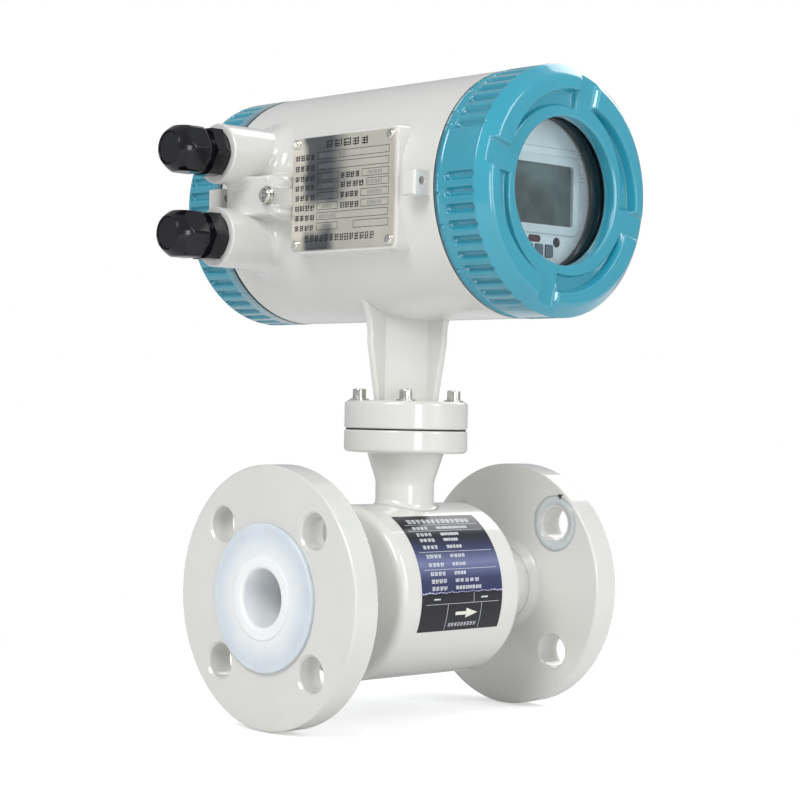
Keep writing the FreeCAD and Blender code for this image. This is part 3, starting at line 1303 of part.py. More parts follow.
def terminal_screws():
    """Slotted clamp screws in the wells of the terminal block."""
    y = PARTITION_Y + PARTITION_THICKNESS + TERMINAL_BASE_THICKNESS + TERMINAL_BLOCK_DEPTH - TERMINAL_WELL
    height = TERMINAL_WELL * TERMINAL_SCREW_SHARE
    screws = []
    for spot in terminal_spots(y):
        screw = rod(TERMINAL_SCREW_RADIUS, spot, height, Y_AXIS)
        half = FreeCAD.Vector(TERMINAL_SCREW_RADIUS, 0, TERMINAL_SCREW_RADIUS / 5)
        low = spot + Y_AXIS * (height * TERMINAL_SCREW_SHARE) - half
        screws.append(screw.cut(block(low, spot + Y_AXIS * (height + SLACK) + half)))
    return Part.makeCompound(screws)


def base_screws():
    """Screws through the terminal plate and the partition, into the boards' pillars."""
    length = PARTITION_THICKNESS + TERMINAL_BASE_THICKNESS
    shank = POST_STUD_RADIUS - THREAD_FIT
    screws = []
    for seat in post_spots(PARTITION_Y + length):
        screws.append(pan_screw(BASE_SCREW_HEAD, BASE_SCREW_HEAD_HEIGHT, shank, length, seat, Y_AXIS))
    return Part.makeCompound(screws)


# ---------------------------------------------------------------- cable glands, built outward along +Z
def gland_washer():
    start = Z_AXIS * BOSS_REACH
    return ring(GLAND_WASHER_RADIUS, GLAND_THREAD_RADIUS, start, GLAND_WASHER_THICKNESS, Z_AXIS)


def gland_body():
    """Moulded body: a threaded shank, a hexagon and a neck for the cap nut."""
    bar = hexagon(GLAND_HEX, Z_AXIS * GLAND_FACE, GLAND_HEX_LENGTH, Z_AXIS)
    top = GLAND_FACE + GLAND_HEX_LENGTH
    corner = GLAND_HEX / math.sqrt(3)
    edge = GLAND_HEX / 2 + (corner - GLAND_HEX / 2) * GLAND_HEX_BEVEL
    slope = (corner - edge) / 2
    rim = [(corner, top - slope, 0), (edge, top, 0)]
    bevel = turned([(0, GLAND_FACE, 0), (corner, GLAND_FACE, 0)] + rim + [(0, top, 0)])
    start = Z_AXIS * (GLAND_FACE - GLAND_SHANK)
    shank = rod(GLAND_THREAD_RADIUS - THREAD_FIT, start, GLAND_SHANK, Z_AXIS)
    neck = rod(GLAND_NECK_RADIUS, Z_AXIS * top, GLAND_NECK_LENGTH, Z_AXIS)
    length = GLAND_SHANK + GLAND_HEX_LENGTH + GLAND_NECK_LENGTH
    body = fuse([bar.common(bevel), shank, neck])
    return body.cut(rod(GLAND_BORE, start, length, Z_AXIS))


def gland_seal():
    """Rubber insert in the neck's mouth, with a rim on its end."""
    mouth = GLAND_FACE + GLAND_HEX_LENGTH + GLAND_NECK_LENGTH
    rim = PLUG_SHOULDER_Z - SEAL_CLEARANCE
    bore = PLUG_TAIL_RADIUS + SEAL_CLEARANCE
    corners = [
        (bore, mouth - PLUG_TAIL, 0),
        (GLAND_BORE, mouth - PLUG_TAIL, 0.5),
        (GLAND_BORE, mouth, 0),
        (SEAL_RIM_RADIUS, mouth, 0),
        (SEAL_RIM_RADIUS, rim, 0.6),
        (bore, rim, 0),
    ]
    return turned(corners)


def gland_nut():
    """Domed cap nut: a hexagon that blends into a round nose."""
    end = NUT_FACE + NUT_LENGTH
    nose = NUT_MOUTH_RADIUS + NUT_LIP
    outline = [
        (0, NUT_FACE, 0),
        (NUT_CORNER_RADIUS, NUT_FACE, 0.5),
        (NUT_CORNER_RADIUS, end - NUT_DOME, NUT_DOME),
        (nose, end, 0.8),
        (0, end, 0),
    ]
    bar = hexagon(NUT_HEX, Z_AXIS * NUT_FACE, NUT_LENGTH, Z_AXIS)
    inside = GLAND_NECK_RADIUS + NUT_THREAD_CLEARANCE
    cavity = rod(inside, Z_AXIS * NUT_FACE, NUT_LENGTH - NUT_WALL, Z_AXIS)
    mouth = rod(NUT_MOUTH_RADIUS, Z_AXIS * NUT_FACE, NUT_LENGTH, Z_AXIS)
    return turned(outline).common(bar).cut([cavity, mouth])


def gland_plug():
    """Blanking plug in the cap nut's mouth, its tail in the seal."""
    end = NUT_FACE + NUT_LENGTH - PLUG_PROUD
    corners = [
        (0, PLUG_SHOULDER_Z - PLUG_TAIL, 0),
        (PLUG_TAIL_RADIUS, PLUG_SHOULDER_Z - PLUG_TAIL, 0.8),
        (PLUG_TAIL_RADIUS, PLUG_SHOULDER_Z, 0),
        (PLUG_SHOULDER_RADIUS, PLUG_SHOULDER_Z, 0.4),
        (PLUG_SHOULDER_RADIUS, PLUG_SHOULDER_Z + PLUG_SHOULDER, 0),
        (PLUG_RADIUS, PLUG_SHOULDER_Z + PLUG_SHOULDER, 0),
        (PLUG_RADIUS, end, 0.5),
        (0, end, 0),
    ]
    return turned(corners)


def at_gland(shape, centre):
    """A gland's piece, turned to point along -X from its boss."""
    turn = FreeCAD.Rotation(Y_AXIS, Z_AXIS, -X_AXIS, "ZYX")
    placed = shape.copy()
    placed.Placement = FreeCAD.Placement(centre, turn)
    return placed


def at_both_glands(shape):
    return Part.makeCompound([at_gland(shape, centre) for centre in gland_centres()])


# ---------------------------------------------------------------- all nodes
def sensor_nodes():
    return {
        "measuring_tube": measuring_tube(),
        "ptfe_liner": ptfe_liner(),
        "inlet_flange": inlet_flange(),
        "outlet_flange": outlet_flange(),
        "coil_housing": coil_housing(),
        "sensor_neck": sensor_neck(),
        "pole_shoes": pole_shoes(),
        "field_coils": field_coils(),
        "magnetic_yoke": magnetic_yoke(),
        "electrodes": electrodes(),
        "electrode_bushes": electrode_bushes(),
        "electrode_nuts": electrode_nuts(),
        "sensor_label": sensor_label(),
        "sensor_cable": sensor_cable(),
        "neck_bung": neck_bung(),
        "neck_gasket": neck_gasket(),
        "neck_washers": neck_washers(),
        "neck_spring_washers": neck_spring_washers(),
        "neck_screws": neck_screws(),
    }


def converter_nodes():
    nodes = {
        "converter_housing": converter_housing(),
        "nameplate": nameplate(),
        "nameplate_screws": nameplate_screws(),
        "earth_washer": earth_washer(),
        "earth_screw": earth_screw(),
        "front_cover": front_cover(),
        "front_o_ring": facing_front(cover_seal()),
        "window_glass": window_glass(),
        "window_gasket": window_gasket(),
        "window_retaining_ring": window_retaining_ring(),
        "rear_cover": rear_cover(),
        "rear_o_ring": facing_rear(cover_seal()),
    }
    return nodes


def electronics_nodes():
    nodes = {
        "display_panel": display_panel(),
        "lcd_bezel": lcd_bezel(),
        "lcd_module": lcd_module(),
        "status_lamp": status_lamp(),
        "infrared_eye": infrared_eye(),
        "display_board": display_board(),
        "base_screws": base_screws(),
        "board_posts": board_posts(),
        "main_board": main_board(),
        "power_board": power_board(),
        "transformer": transformer(),
        "capacitors": capacitors(),
        "lead_plug": lead_plug(),
        "feed_block": feed_block(),
        "terminal_base": terminal_base(),
        "terminal_block": terminal_block(),
        "terminal_screws": terminal_screws(),
    }
    for number, cap in enumerate(key_caps(), start=1):
        nodes["key_%d" % number] = cap
    return nodes


def gland_nodes():
    nodes = {
        "gland_washers": at_both_glands(gland_washer()),
        "gland_bodies": at_both_glands(gland_body()),
        "gland_seals": at_both_glands(gland_seal()),
    }
    for name, centre in zip(("upper", "lower"), gland_centres()):
        nodes[name + "_gland_nut"] = at_gland(gland_nut(), centre)
        nodes[name + "_gland_plug"] = at_gland(gland_plug(), centre)
    return nodes


def main():
    os.makedirs("parts", exist_ok=True)
    nodes = {**sensor_nodes(), **converter_nodes(), **electronics_nodes(), **gland_nodes()}
    for name, shape in nodes.items():
        shape.exportStep("parts/%s.step" % name)


main()
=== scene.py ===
# %% [markdown]
# # An electromagnetic flow meter, dressed in Blender
# The meter is a flanged steel tube with a PTFE lining, field coils in a welded case, and a cast
# converter on a short neck.  The CAD solids give every piece its true size and place.  This file
# gives each of them its finish, and models the forms that a lathe and a few cutters can't give:
# the soft-edged castings, the moulded cap nuts and the print on the label and the nameplate.

# %% Load the frame
import bmesh
import bpy
import math
import numpy as np
from mathutils import Matrix, Vector


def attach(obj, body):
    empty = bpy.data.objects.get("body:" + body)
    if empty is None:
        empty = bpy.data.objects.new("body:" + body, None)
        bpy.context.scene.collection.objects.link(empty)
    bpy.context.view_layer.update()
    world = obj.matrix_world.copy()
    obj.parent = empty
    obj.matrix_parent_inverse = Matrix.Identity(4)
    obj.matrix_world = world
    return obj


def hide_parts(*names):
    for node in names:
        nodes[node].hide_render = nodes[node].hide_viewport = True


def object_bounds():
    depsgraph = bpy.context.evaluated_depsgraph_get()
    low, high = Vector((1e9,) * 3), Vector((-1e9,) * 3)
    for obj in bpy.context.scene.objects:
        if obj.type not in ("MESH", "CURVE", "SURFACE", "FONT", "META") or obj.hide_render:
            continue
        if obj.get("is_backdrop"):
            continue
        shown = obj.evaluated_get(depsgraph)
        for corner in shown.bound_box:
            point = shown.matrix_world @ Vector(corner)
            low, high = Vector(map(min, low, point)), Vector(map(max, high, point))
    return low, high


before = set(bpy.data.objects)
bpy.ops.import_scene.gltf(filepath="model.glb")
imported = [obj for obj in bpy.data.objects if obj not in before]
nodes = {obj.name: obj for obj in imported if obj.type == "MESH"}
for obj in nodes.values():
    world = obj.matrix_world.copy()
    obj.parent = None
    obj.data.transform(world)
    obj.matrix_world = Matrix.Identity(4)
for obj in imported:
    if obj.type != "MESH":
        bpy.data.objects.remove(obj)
cad_low, cad_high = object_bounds()
MM = 0.001
print("nodes:", len(nodes), "box:", [round(v, 4) for v in (*cad_low, *cad_high)])

# %% [markdown]
# The camera stands a little above the flow axis, to the left of the display, about 1.1 m away.
# It is turned by three small angles, and its lens is long, so that the flanges stay nearly round.

# %% Camera
CAMERA_AZIMUTH = -44.2      # degrees from the display's side, towards the inlet
CAMERA_DISTANCE = 1.1087    # metres from the neck's axis
CAMERA_HEIGHT = 0.0951
CAMERA_YAW, CAMERA_PITCH, CAMERA_ROLL = 0.18, 0.35, 1.16
CAMERA_LENS = 92.63         # millimetres, on a 36 mm sensor


def add_camera():
    """Looks at the neck's axis from an azimuth, then turns by yaw, pitch and roll."""
    turn = math.radians(CAMERA_AZIMUTH)
    place = Vector((math.sin(turn) * CAMERA_DISTANCE, -math.cos(turn) * CAMERA_DISTANCE, CAMERA_HEIGHT))
    heading = turn + math.radians(CAMERA_YAW)
    level = Matrix.Rotation(heading, 3, "Z")
    pitch = Matrix.Rotation(math.radians(90 + CAMERA_PITCH), 3, "X")
    roll = Matrix.Rotation(math.radians(CAMERA_ROLL), 3, "Z")
    data = bpy.data.cameras.new("camera")
    data.lens = CAMERA_LENS
    data.sensor_width = 36.0
    data.clip_start, data.clip_end = 0.05, 30.0
    camera = bpy.data.objects.new("camera", data)
    camera.matrix_world = Matrix.Translation(place) @ (level @ pitch @ roll).to_4x4()
    bpy.context.scene.collection.objects.link(camera)
    bpy.context.scene.camera = camera
    return camera


camera = add_camera()
print("camera at", [round(v, 3) for v in camera.matrix_world.translation])

# %% [markdown]
# Colours are written as the sRGB hex values of a paint chart.  Blender wants linear light, so one
# function turns them.  One more adds a shader node with its settings and links.

# %% Helpers for materials


def linear(hex_colour):
    """sRGB hex to linear: below 0.04045 a straight line, above it a power of 2.4."""
    value = np.array([int(hex_colour[k:k + 2], 16) / 255 for k in (1, 3, 5)])
    low = value / 12.92
    high = ((value + 0.055) / 1.055) ** 2.4
    return (*np.where(value <= 0.04045, low, high), 1.0)


def add(material, kind, settings=None, numbered=None, **links):
    """Adds a shader node, sets its properties or sockets, and links sockets by number or name."""
    node = material.node_tree.nodes.new(kind)
    for key, value in (settings or {}).items():
        if isinstance(key, int) or key in node.inputs:
            node.inputs[key].default_value = value
        else:
            setattr(node, key, value)
    for key, source in (numbered or {}).items():
        material.node_tree.links.new(source, node.inputs[key])
    for key, source in links.items():
        material.node_tree.links.new(source, node.inputs[key.replace("_", " ")])
    return node


def new_material(name):
    """An empty node material and its output node."""
    material = bpy.data.materials.new(name)
    material.use_nodes = True
    material.node_tree.nodes.clear()
    output = material.node_tree.nodes.new("ShaderNodeOutputMaterial")
    return material, output


def connect(material, source, node, socket):
    """Links a socket to an input, by name or number."""
    material.node_tree.links.new(source, node.inputs[socket])


DRIFT_START, DRIFT_END = 0.35, 0.65     # share of the noise over which one tone turns into the other


def surface(name, colour, shade, patch, **settings):
    """A Principled surface whose colour drifts between two tones over patches of a stated size."""
    material, output = new_material(name)
    place = add(material, "ShaderNodeTexCoord").outputs["Object"]
    noise = add(material, "ShaderNodeTexNoise", {"Scale": 1 / patch, "Detail": 4.0}, Vector=place)
    ramp = add(material, "ShaderNodeValToRGB", Fac=noise.outputs["Fac"])
    ends = ramp.color_ramp.elements
    ends[0].position, ends[0].color = DRIFT_START, linear(shade)
    ends[1].position, ends[1].color = DRIFT_END, linear(colour)
    shader = add(material, "ShaderNodeBsdfPrincipled", settings, Base_Color=ramp.outputs["Color"])
    connect(material, shader.outputs["BSDF"], output, "Surface")
    return material, shader, place


def bumps(material, shader, height, depth, strength=1.0, normal=None):
    """Feeds a height pattern, so many metres deep, into a shader's normal."""
    bump = add(material, "ShaderNodeBump", {"Strength": strength, "Distance": depth}, Height=height)
    if normal:
        connect(material, normal, bump, "Normal")
    connect(material, bump.outputs["Normal"], shader, "Normal")
    return bump


def stretched(material, place, scale):
    """The coordinates, scaled by a different amount along each axis."""
    return add(material, "ShaderNodeMapping", {"Scale": scale}, Vector=place).outputs["Vector"]


def tinted(material, shader, share, tone):
    """Turns a surface's own colour into another tone: tone times share, plus colour times the rest."""
    own = shader.inputs["Base Color"].links[0].from_socket
    mix = add(material, "ShaderNodeMix", {"data_type": "RGBA", 7: linear(tone)}, {0: share, 6: own})
    connect(material, mix.outputs[2], shader, "Base Color")


# %% [markdown]
# The studio is a white sweep under a soft tent.  The world gives an even pale light, and four
# large lamps give the long highlights on the enamel.  The camera sees the world as plain white,
# and the floor fades into that white outside the meter's own shadow.

# %% Studio
FLOOR_GAP = 0.0006          # under the flanges
FLOOR_HALF = 6.0            # half the floor's width
FADE_START, FADE_END = 0.16, 0.42       # metres from the middle, where the floor turns white
TENT_STRENGTH, FLOOR_GLOW = 0.5, 0.5


def add_world():
    """A pale tent that lights the meter, and plain white where the camera looks past it."""
    world = bpy.data.worlds.new("tent")
    bpy.context.scene.world = world
    world.use_nodes = True
    world.node_tree.nodes.clear()
    path = add(world, "ShaderNodeLightPath")
    tent = add(world, "ShaderNodeBackground", {"Color": linear("#F4F7FA"), "Strength": TENT_STRENGTH})
    seen = add(world, "ShaderNodeBackground", {"Color": linear("#FFFFFF"), "Strength": 1.0})
    shaders = {1: tent.outputs["Background"], 2: seen.outputs["Background"]}
    mix = add(world, "ShaderNodeMixShader", None, shaders, Fac=path.outputs["Is Camera Ray"])
    add(world, "ShaderNodeOutputWorld", Surface=mix.outputs["Shader"])


def add_lamp(name, place, target, size, power):
    """A white rectangular lamp that faces a point."""
    data = bpy.data.lights.new(name, "AREA")
    data.shape = "RECTANGLE"
    data.size, data.size_y = size
    data.energy = power
    lamp = bpy.data.objects.new(name, data)
    lamp.location = place
    lamp.rotation_euler = (Vector(target) - Vector(place)).to_track_quat("-Z", "Y").to_euler()
    bpy.context.scene.collection.objects.link(lamp)


def add_floor():
    """A broad pale floor that the camera sees as nearly white, with the meter's soft shadow."""
    half, low = FLOOR_HALF, cad_low[2] - FLOOR_GAP
    mesh = bpy.data.meshes.new("floor")
    corners = [(-half, -half, low), (half, -half, low), (half, half, low), (-half, half, low)]
    mesh.from_pydata(corners, [], [(0, 1, 2, 3)])
    floor = bpy.data.objects.new("floor", mesh)
    bpy.context.scene.collection.objects.link(floor)
    material, output = new_material("pale_sweep")
    matt = add(material, "ShaderNodeBsdfDiffuse", {"Color": linear("#EDEDED")})
    glow = add(material, "ShaderNodeEmission", {"Color": linear("#FFFFFF"), "Strength": FLOOR_GLOW})
    near = add(material, "ShaderNodeAddShader", None,
               {0: matt.outputs["BSDF"], 1: glow.outputs["Emission"]})
    place = add(material, "ShaderNodeTexCoord").outputs["Object"]
    away = add(material, "ShaderNodeVectorMath", {"operation": "LENGTH"}, Vector=place)
    fade = add(material, "ShaderNodeMapRange", {"From Min": FADE_START, "From Max": FADE_END},
               Value=away.outputs["Value"])
    white = add(material, "ShaderNodeEmission", {"Color": linear("#FFFFFF"), "Strength": 1.0})
    faded = add(material, "ShaderNodeMixShader", None,
                {0: fade.outputs["Result"], 1: near.outputs["Shader"], 2: white.outputs["Emission"]})
    path = add(material, "ShaderNodeLightPath")
    seen = add(material, "ShaderNodeMixShader", None,
               {0: path.outputs["Is Camera Ray"], 1: matt.outputs["BSDF"], 2: faded.outputs["Shader"]})
    connect(material, seen.outputs["Shader"], output, "Surface")
    mesh.materials.append(material)
    floor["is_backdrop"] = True


MIDDLE = (0.0, 0.0, 0.12)   # what the lamps face
add_world()
add_floor()
add_lamp("key_lamp", (-1.5, -0.5, 1.3), MIDDLE, (0.8, 0.8), 19.0)
add_lamp("fill_lamp", (0.5, -1.9, 0.9), MIDDLE, (0.6, 1.6), 14.0)
add_lamp("side_lamp", (1.5, 0.35, 1.35), MIDDLE, (0.9, 1.4), 9.0)
add_lamp("low_lamp", (-0.7, -1.8, 0.1), MIDDLE, (0.4, 0.9), 7.0)
bpy.context.scene.view_settings.view_transform = "Standard"
print("studio: floor, world and four lamps")

# %% [markdown]
# ## Enamels
# The castings and the welded sensor are sprayed with a glossy two-part enamel over primer.  It
# flows over edges, so a rounded normal softens them, and it dries with a faint orange peel a few
# millimetres across.  The same paint in teal covers the two screw caps.

# %% Enamels
EDGE_ROUND = 0.0007         # how far the paint rounds an edge
ORANGE_PEEL = 0.0035        # size of the ripples in the paint
PEEL_DEPTH = 0.00003        # height of the ripples
TONE_DRIFT = 0.06           # size of the areas over which the tone drifts
COAT_WEIGHT, COAT_ROUGHNESS = 0.9, 0.05


def enamel(name, colour, shade, roughness):
    """Sprayed enamel: a glossy coat, a faint drift of tone and an orange-peel ripple."""
    coat = {"Coat Weight": COAT_WEIGHT, "Coat Roughness": COAT_ROUGHNESS}
    material, shader, place = surface(name, colour, shade, TONE_DRIFT, Roughness=roughness, IOR=1.5, **coat)
    peel = add(material, "ShaderNodeTexNoise", {"Scale": 1 / ORANGE_PEEL, "Detail": 2.0}, Vector=place)
    edge = add(material, "ShaderNodeBevel", {"samples": 6, "Radius": EDGE_ROUND})
    bump = bumps(material, shader, peel.outputs["Fac"], PEEL_DEPTH, 0.35, edge.outputs["Normal"])
    connect(material, bump.outputs["Normal"], shader, "Coat Normal")
    return material


white_enamel = enamel("white_enamel", "#DEDDD9", "#D9D8D3", 0.24)
teal_enamel = enamel("teal_enamel", "#3099B0", "#2B93AA", 0.22)
print("enamels:", white_enamel.name, teal_enamel.name)

# %% [markdown]
# ## Metals
# The nameplate is rolled stainless sheet, brushed along its length, so its bump is stretched to
# fine lines.  It mirrors the room in two soft dark patches; these reflections are painted into its
# colour, worked out here from the place on the plate.  The screws are bright plated steel, and the
# yoke and the pole shoes inside the case are lacquered.

# %% Metals
PLATE_BRUSH = (200.0, 60.0, 5000.0)     # lines per metre along x, y and z: 0.2 mm apart, along y
PANEL_BRUSH = (40.0, 200.0, 3000.0)     # 0.3 mm apart, along x
BRUSH_DEPTH = 0.00002       # of the brushed lines
HANDLING_MARKS = 900.0      # per metre, so about a millimetre across
PATCH_WAVES, PATCH_WOBBLE = 60.0, 0.012 # waves per metre of a patch's edge, and how far they reach
# The nameplate's two soft dark patches are painted reflections of the room.
PLATE_PAINTED_REFLECTIONS = [           # an axis, where the ramp starts and where it is full, in metres
    [("Y", 0.022, 0.016), ("Y", -0.018, -0.002), ("Z", 0.205, 0.213)],
    [("Y", 0.020, 0.014), ("Y", -0.010, 0.000), ("Z", 0.198, 0.190)],
]


def brushed(name, colour, shade, roughness, scale, metal):
    """Brushed metal: a bump pattern drawn out along the brushing direction."""
    material, shader, place = surface(name, colour, shade, 0.02, Roughness=roughness, Metallic=metal)
    lines = add(material, "ShaderNodeTexNoise", {"Scale": 1.0, "Detail": 3.0},
                Vector=stretched(material, place, scale))
    bumps(material, shader, lines.outputs["Fac"], BRUSH_DEPTH, 0.6)
    return material, shader, place


def painted_reflection_patches(material, shader, place, tone, patches):
    """Paints reflections into a metal: darkens it in soft patches, each the product of its smooth ramps
    along y and z.  Where patches meet, the larger share counts."""
    wobble = add(material, "ShaderNodeTexNoise", {"Scale": PATCH_WAVES, "Detail": 2.0}, Vector=place)
    moved = add(material, "ShaderNodeVectorMath", {"operation": "MULTIPLY_ADD", 1: (PATCH_WOBBLE,) * 3},
                {0: wobble.outputs["Color"], 2: place})
    axes = add(material, "ShaderNodeSeparateXYZ", Vector=moved.outputs["Vector"])
    total = None
    for ramps in patches:
        share = None
        for axis, start, end in ramps:
            ramp = add(material, "ShaderNodeMapRange", {"interpolation_type": "SMOOTHSTEP",
                       "From Min": start, "From Max": end}, Value=axes.outputs[axis]).outputs["Result"]
            share = ramp if share is None else add(
                material, "ShaderNodeMath", {"operation": "MULTIPLY"}, {0: share, 1: ramp}).outputs["Value"]
        total = share if total is None else add(
            material, "ShaderNodeMath", {"operation": "MAXIMUM"}, {0: total, 1: share}).outputs["Value"]
    tinted(material, shader, total, tone)
    return material


def plated(name, colour, shade, roughness):
    """Bright plated steel with soft handling marks."""
    material, shader, place = surface(name, colour, shade, 0.004, Roughness=roughness, Metallic=1.0)
    marks = add(material, "ShaderNodeTexNoise", {"Scale": HANDLING_MARKS, "Detail": 2.0}, Vector=place)
    edge = add(material, "ShaderNodeBevel", {"samples": 4, "Radius": 0.0003})
    bumps(material, shader, marks.outputs["Fac"], 0.00003, 0.4, edge.outputs["Normal"])
    return material


stainless = brushed("brushed_stainless_painted_reflections", "#E6E2D6", "#DCD8CC", 0.3, PLATE_BRUSH, 0.7)
# The dark tone #666B6F is that of the painted reflections on the nameplate.
brushed_plate_painted_reflections = painted_reflection_patches(*stainless, "#666B6F", PLATE_PAINTED_REFLECTIONS)
bright_screw = plated("bright_plated_steel", "#EFEEE9", "#C9C7C0", 0.2)
silver_panel = brushed("brushed_silver_panel", "#EDF3F9", "#E2E9F1", 0.42, PANEL_BRUSH, 0.0)[0]
magnet_steel = plated("lacquered_magnet_steel", "#4A4C52", "#3C3E44", 0.5)
print("metals:", [m.name for m in (brushed_plate_painted_reflections, bright_screw, silver_panel, magnet_steel)])

# %% [markdown]
# ## Plastics, rubber and glass
# PTFE is waxy: light sinks a few millimetres in, so it gets subsurface scattering.  The glands
# are moulded black nylon with a glossy skin.  The window is a thick clear disc.

# %% Plastics, rubber and glass
MOULD_ROUND = 0.0003        # how far a moulded edge is rounded
GRAIN_DEPTH = 0.00002
GLOW_SHARE, GLOW_REACH = 0.6, (0.8, 0.95, 1.2)      # inside PTFE blue light goes furthest
GLASS_MIRROR = 0.2          # share that the window mirrors at the flattest slant
LINING_THIN, LINING_THICK = 0.034, 0.020    # distance from the flow axis, over the flare


def moulded(name, colour, shade, roughness, grain=0.0008):
    """Moulded plastic: a fine grain and softly rounded edges."""
    material, shader, place = surface(name, colour, shade, 0.01, Roughness=roughness, IOR=1.46)
    skin = add(material, "ShaderNodeTexNoise", {"Scale": 1 / grain, "Detail": 2.0}, Vector=place)
    edge = add(material, "ShaderNodeBevel", {"samples": 4, "Radius": MOULD_ROUND})
    bumps(material, shader, skin.outputs["Fac"], GRAIN_DEPTH, 0.4, edge.outputs["Normal"])
    return material, shader


def waxy(name, colour, shade, thick, roughness, depth):
    """PTFE: light sinks in and glows blue, and the lining turns whiter as it thickens towards the bore."""
    material, shader = moulded(name, colour, shade, roughness, 0.0015)
    shader.inputs["Subsurface Weight"].default_value = GLOW_SHARE
    shader.inputs["Subsurface Radius"].default_value = GLOW_REACH
    shader.inputs["Subsurface Scale"].default_value = depth
    place = add(material, "ShaderNodeTexCoord").outputs["Object"]
    radius = add(material, "ShaderNodeVectorMath", {"operation": "LENGTH"},
                 Vector=stretched(material, place, (0.0, 1.0, 1.0)))
    share = add(material, "ShaderNodeMapRange", {"From Min": LINING_THIN, "From Max": LINING_THICK},
                Value=radius.outputs["Value"])
    tinted(material, shader, share.outputs["Result"], thick)
    return material


def clear_glass(name):
    """Toughened glass: it lets light straight through and mirrors a little, more at a slant."""
    material, output = new_material(name)
    through = add(material, "ShaderNodeBsdfTransparent", {"Color": linear("#F6FBFB")})
    mirror = add(material, "ShaderNodeBsdfGlossy", {"Color": linear("#FFFFFF"), "Roughness": 0.02})
    slant = add(material, "ShaderNodeLayerWeight", {"Blend": 0.5})
    share = add(material, "ShaderNodeMath", {"operation": "MULTIPLY", 1: GLASS_MIRROR},
                {0: slant.outputs["Facing"]})
    mix = add(material, "ShaderNodeMixShader", None,
              {0: share.outputs["Value"], 1: through.outputs["BSDF"], 2: mirror.outputs["BSDF"]})
    connect(material, mix.outputs["Shader"], output, "Surface")
    return material


ptfe = waxy("ptfe_lining", "#D8E0E9", "#D0D9E4", "#F4F8FC", 0.3, 0.004)
black_nylon = moulded("moulded_black_nylon", "#101018", "#0B0B12", 0.14)[0]
black_rubber = moulded("black_rubber", "#0B0B0C", "#070708", 0.6)[0]
key_plastic = moulded("blue_grey_keys", "#5D6A7C", "#536073", 0.5)[0]
pale_bezel = moulded("pale_bezel", "#DFE5EB", "#D7DDE4", 0.35)[0]
grey_plastic = moulded("grey_moulding", "#7F8285", "#767A7D", 0.45)[0]
green_plastic = moulded("green_terminals", "#2F7A4A", "#296F42", 0.4)[0]
red_lens = moulded("dark_red_lens", "#4A1D22", "#3A1519", 0.2)[0]
dark_lens = moulded("dark_lens", "#1B1A20", "#141318", 0.15)[0]
cable_sheath = moulded("cable_sheath", "#3A3B3D", "#333436", 0.5)[0]
window = clear_glass("toughened_window")
print("plastics and glass made")

# %% [markdown]
# ## Boards, windings and the screen
# None of these shows much from outside.  A board is green solder mask over copper tracks, and a
# coil is enamelled wire, wound tight.  The screen is dark and glossy, with painted reflections in
# large pale and dark clouds.

# %% Boards, windings and screen
TRACKS, WIRES = 60.0, 320.0             # pattern scales: tracks 4 mm apart, wires 1 mm


def circuit_board(name):
    """Green solder mask with paler tracks, drawn with a brick pattern whose rows are the tracks."""
    material, shader, place = surface(name, "#1F6B3A", "#195C31", 0.01, Roughness=0.35, IOR=1.5)
    turned = add(material, "ShaderNodeMapping", {"Rotation": (math.pi / 2, 0, 0)}, Vector=place)
    tracks = add(material, "ShaderNodeTexBrick", {
        "Scale": TRACKS, "Mortar Size": 0.04, "Brick Width": 0.9, "Color1": linear("#1F6B3A"),
        "Color2": linear("#1B6135"), "Mortar": linear("#3F9460")}, Vector=turned.outputs["Vector"])
    connect(material, tracks.outputs["Color"], shader, "Base Color")
    bumps(material, shader, tracks.outputs["Fac"], 0.00005)
    return material


def winding(name):
    """Enamelled copper wire: wound in bands, coarser than the real wire so that they show."""
    material, shader, place = surface(name, "#A5542B", "#8C4220", 0.01, Roughness=0.35, Metallic=0.9)
    wires = add(material, "ShaderNodeTexWave", {"Scale": WIRES, "Distortion": 0.3}, Vector=place)
    bumps(material, shader, wires.outputs["Fac"], 0.0002)
    return material


board_green = circuit_board("circuit_board")
copper = winding("copper_winding")
# The screen's large pale and dark clouds are painted reflections.
lcd_painted_reflections = surface("liquid_crystal_painted_reflections", "#5E7072", "#2E3B3E", 0.02, Roughness=0.22, IOR=1.5)[0]
print("boards, windings and screen made")

# %% [markdown]
# ## Surfaces from arrays
# Every new piece is a grid of points: one parameter runs along a profile, the other round the
# axis or across the sheet.  numpy works out the whole grid at once, and Blender gets the arrays.
# Where two forms meet, the lower of the two is taken with a rounded crease, which gives the soft
# edges of castings and mouldings without a single boolean.

# %% Grids into meshes
WELD = 1e-7                 # metres within which two points are one
ARC_SHARE = 0.29            # of a corner's round, from the corner to the arc's middle
STEP_SLOPE = 2.2            # makes a soft step about as wide as it says


def grid_faces(rows, columns, wrap_rows=False, wrap_columns=False):
    """Quads between neighbours of a grid: this corner, the next column, both, the next row."""
    i = np.arange(rows if wrap_rows else rows - 1)[:, None]
    j = np.arange(columns if wrap_columns else columns - 1)[None, :]
    below, beside = (i + 1) % rows, (j + 1) % columns
    corners = (i * columns + j, i * columns + beside, below * columns + beside, below * columns + j)
    return np.stack(np.broadcast_arrays(*corners), -1).reshape(-1, 4)


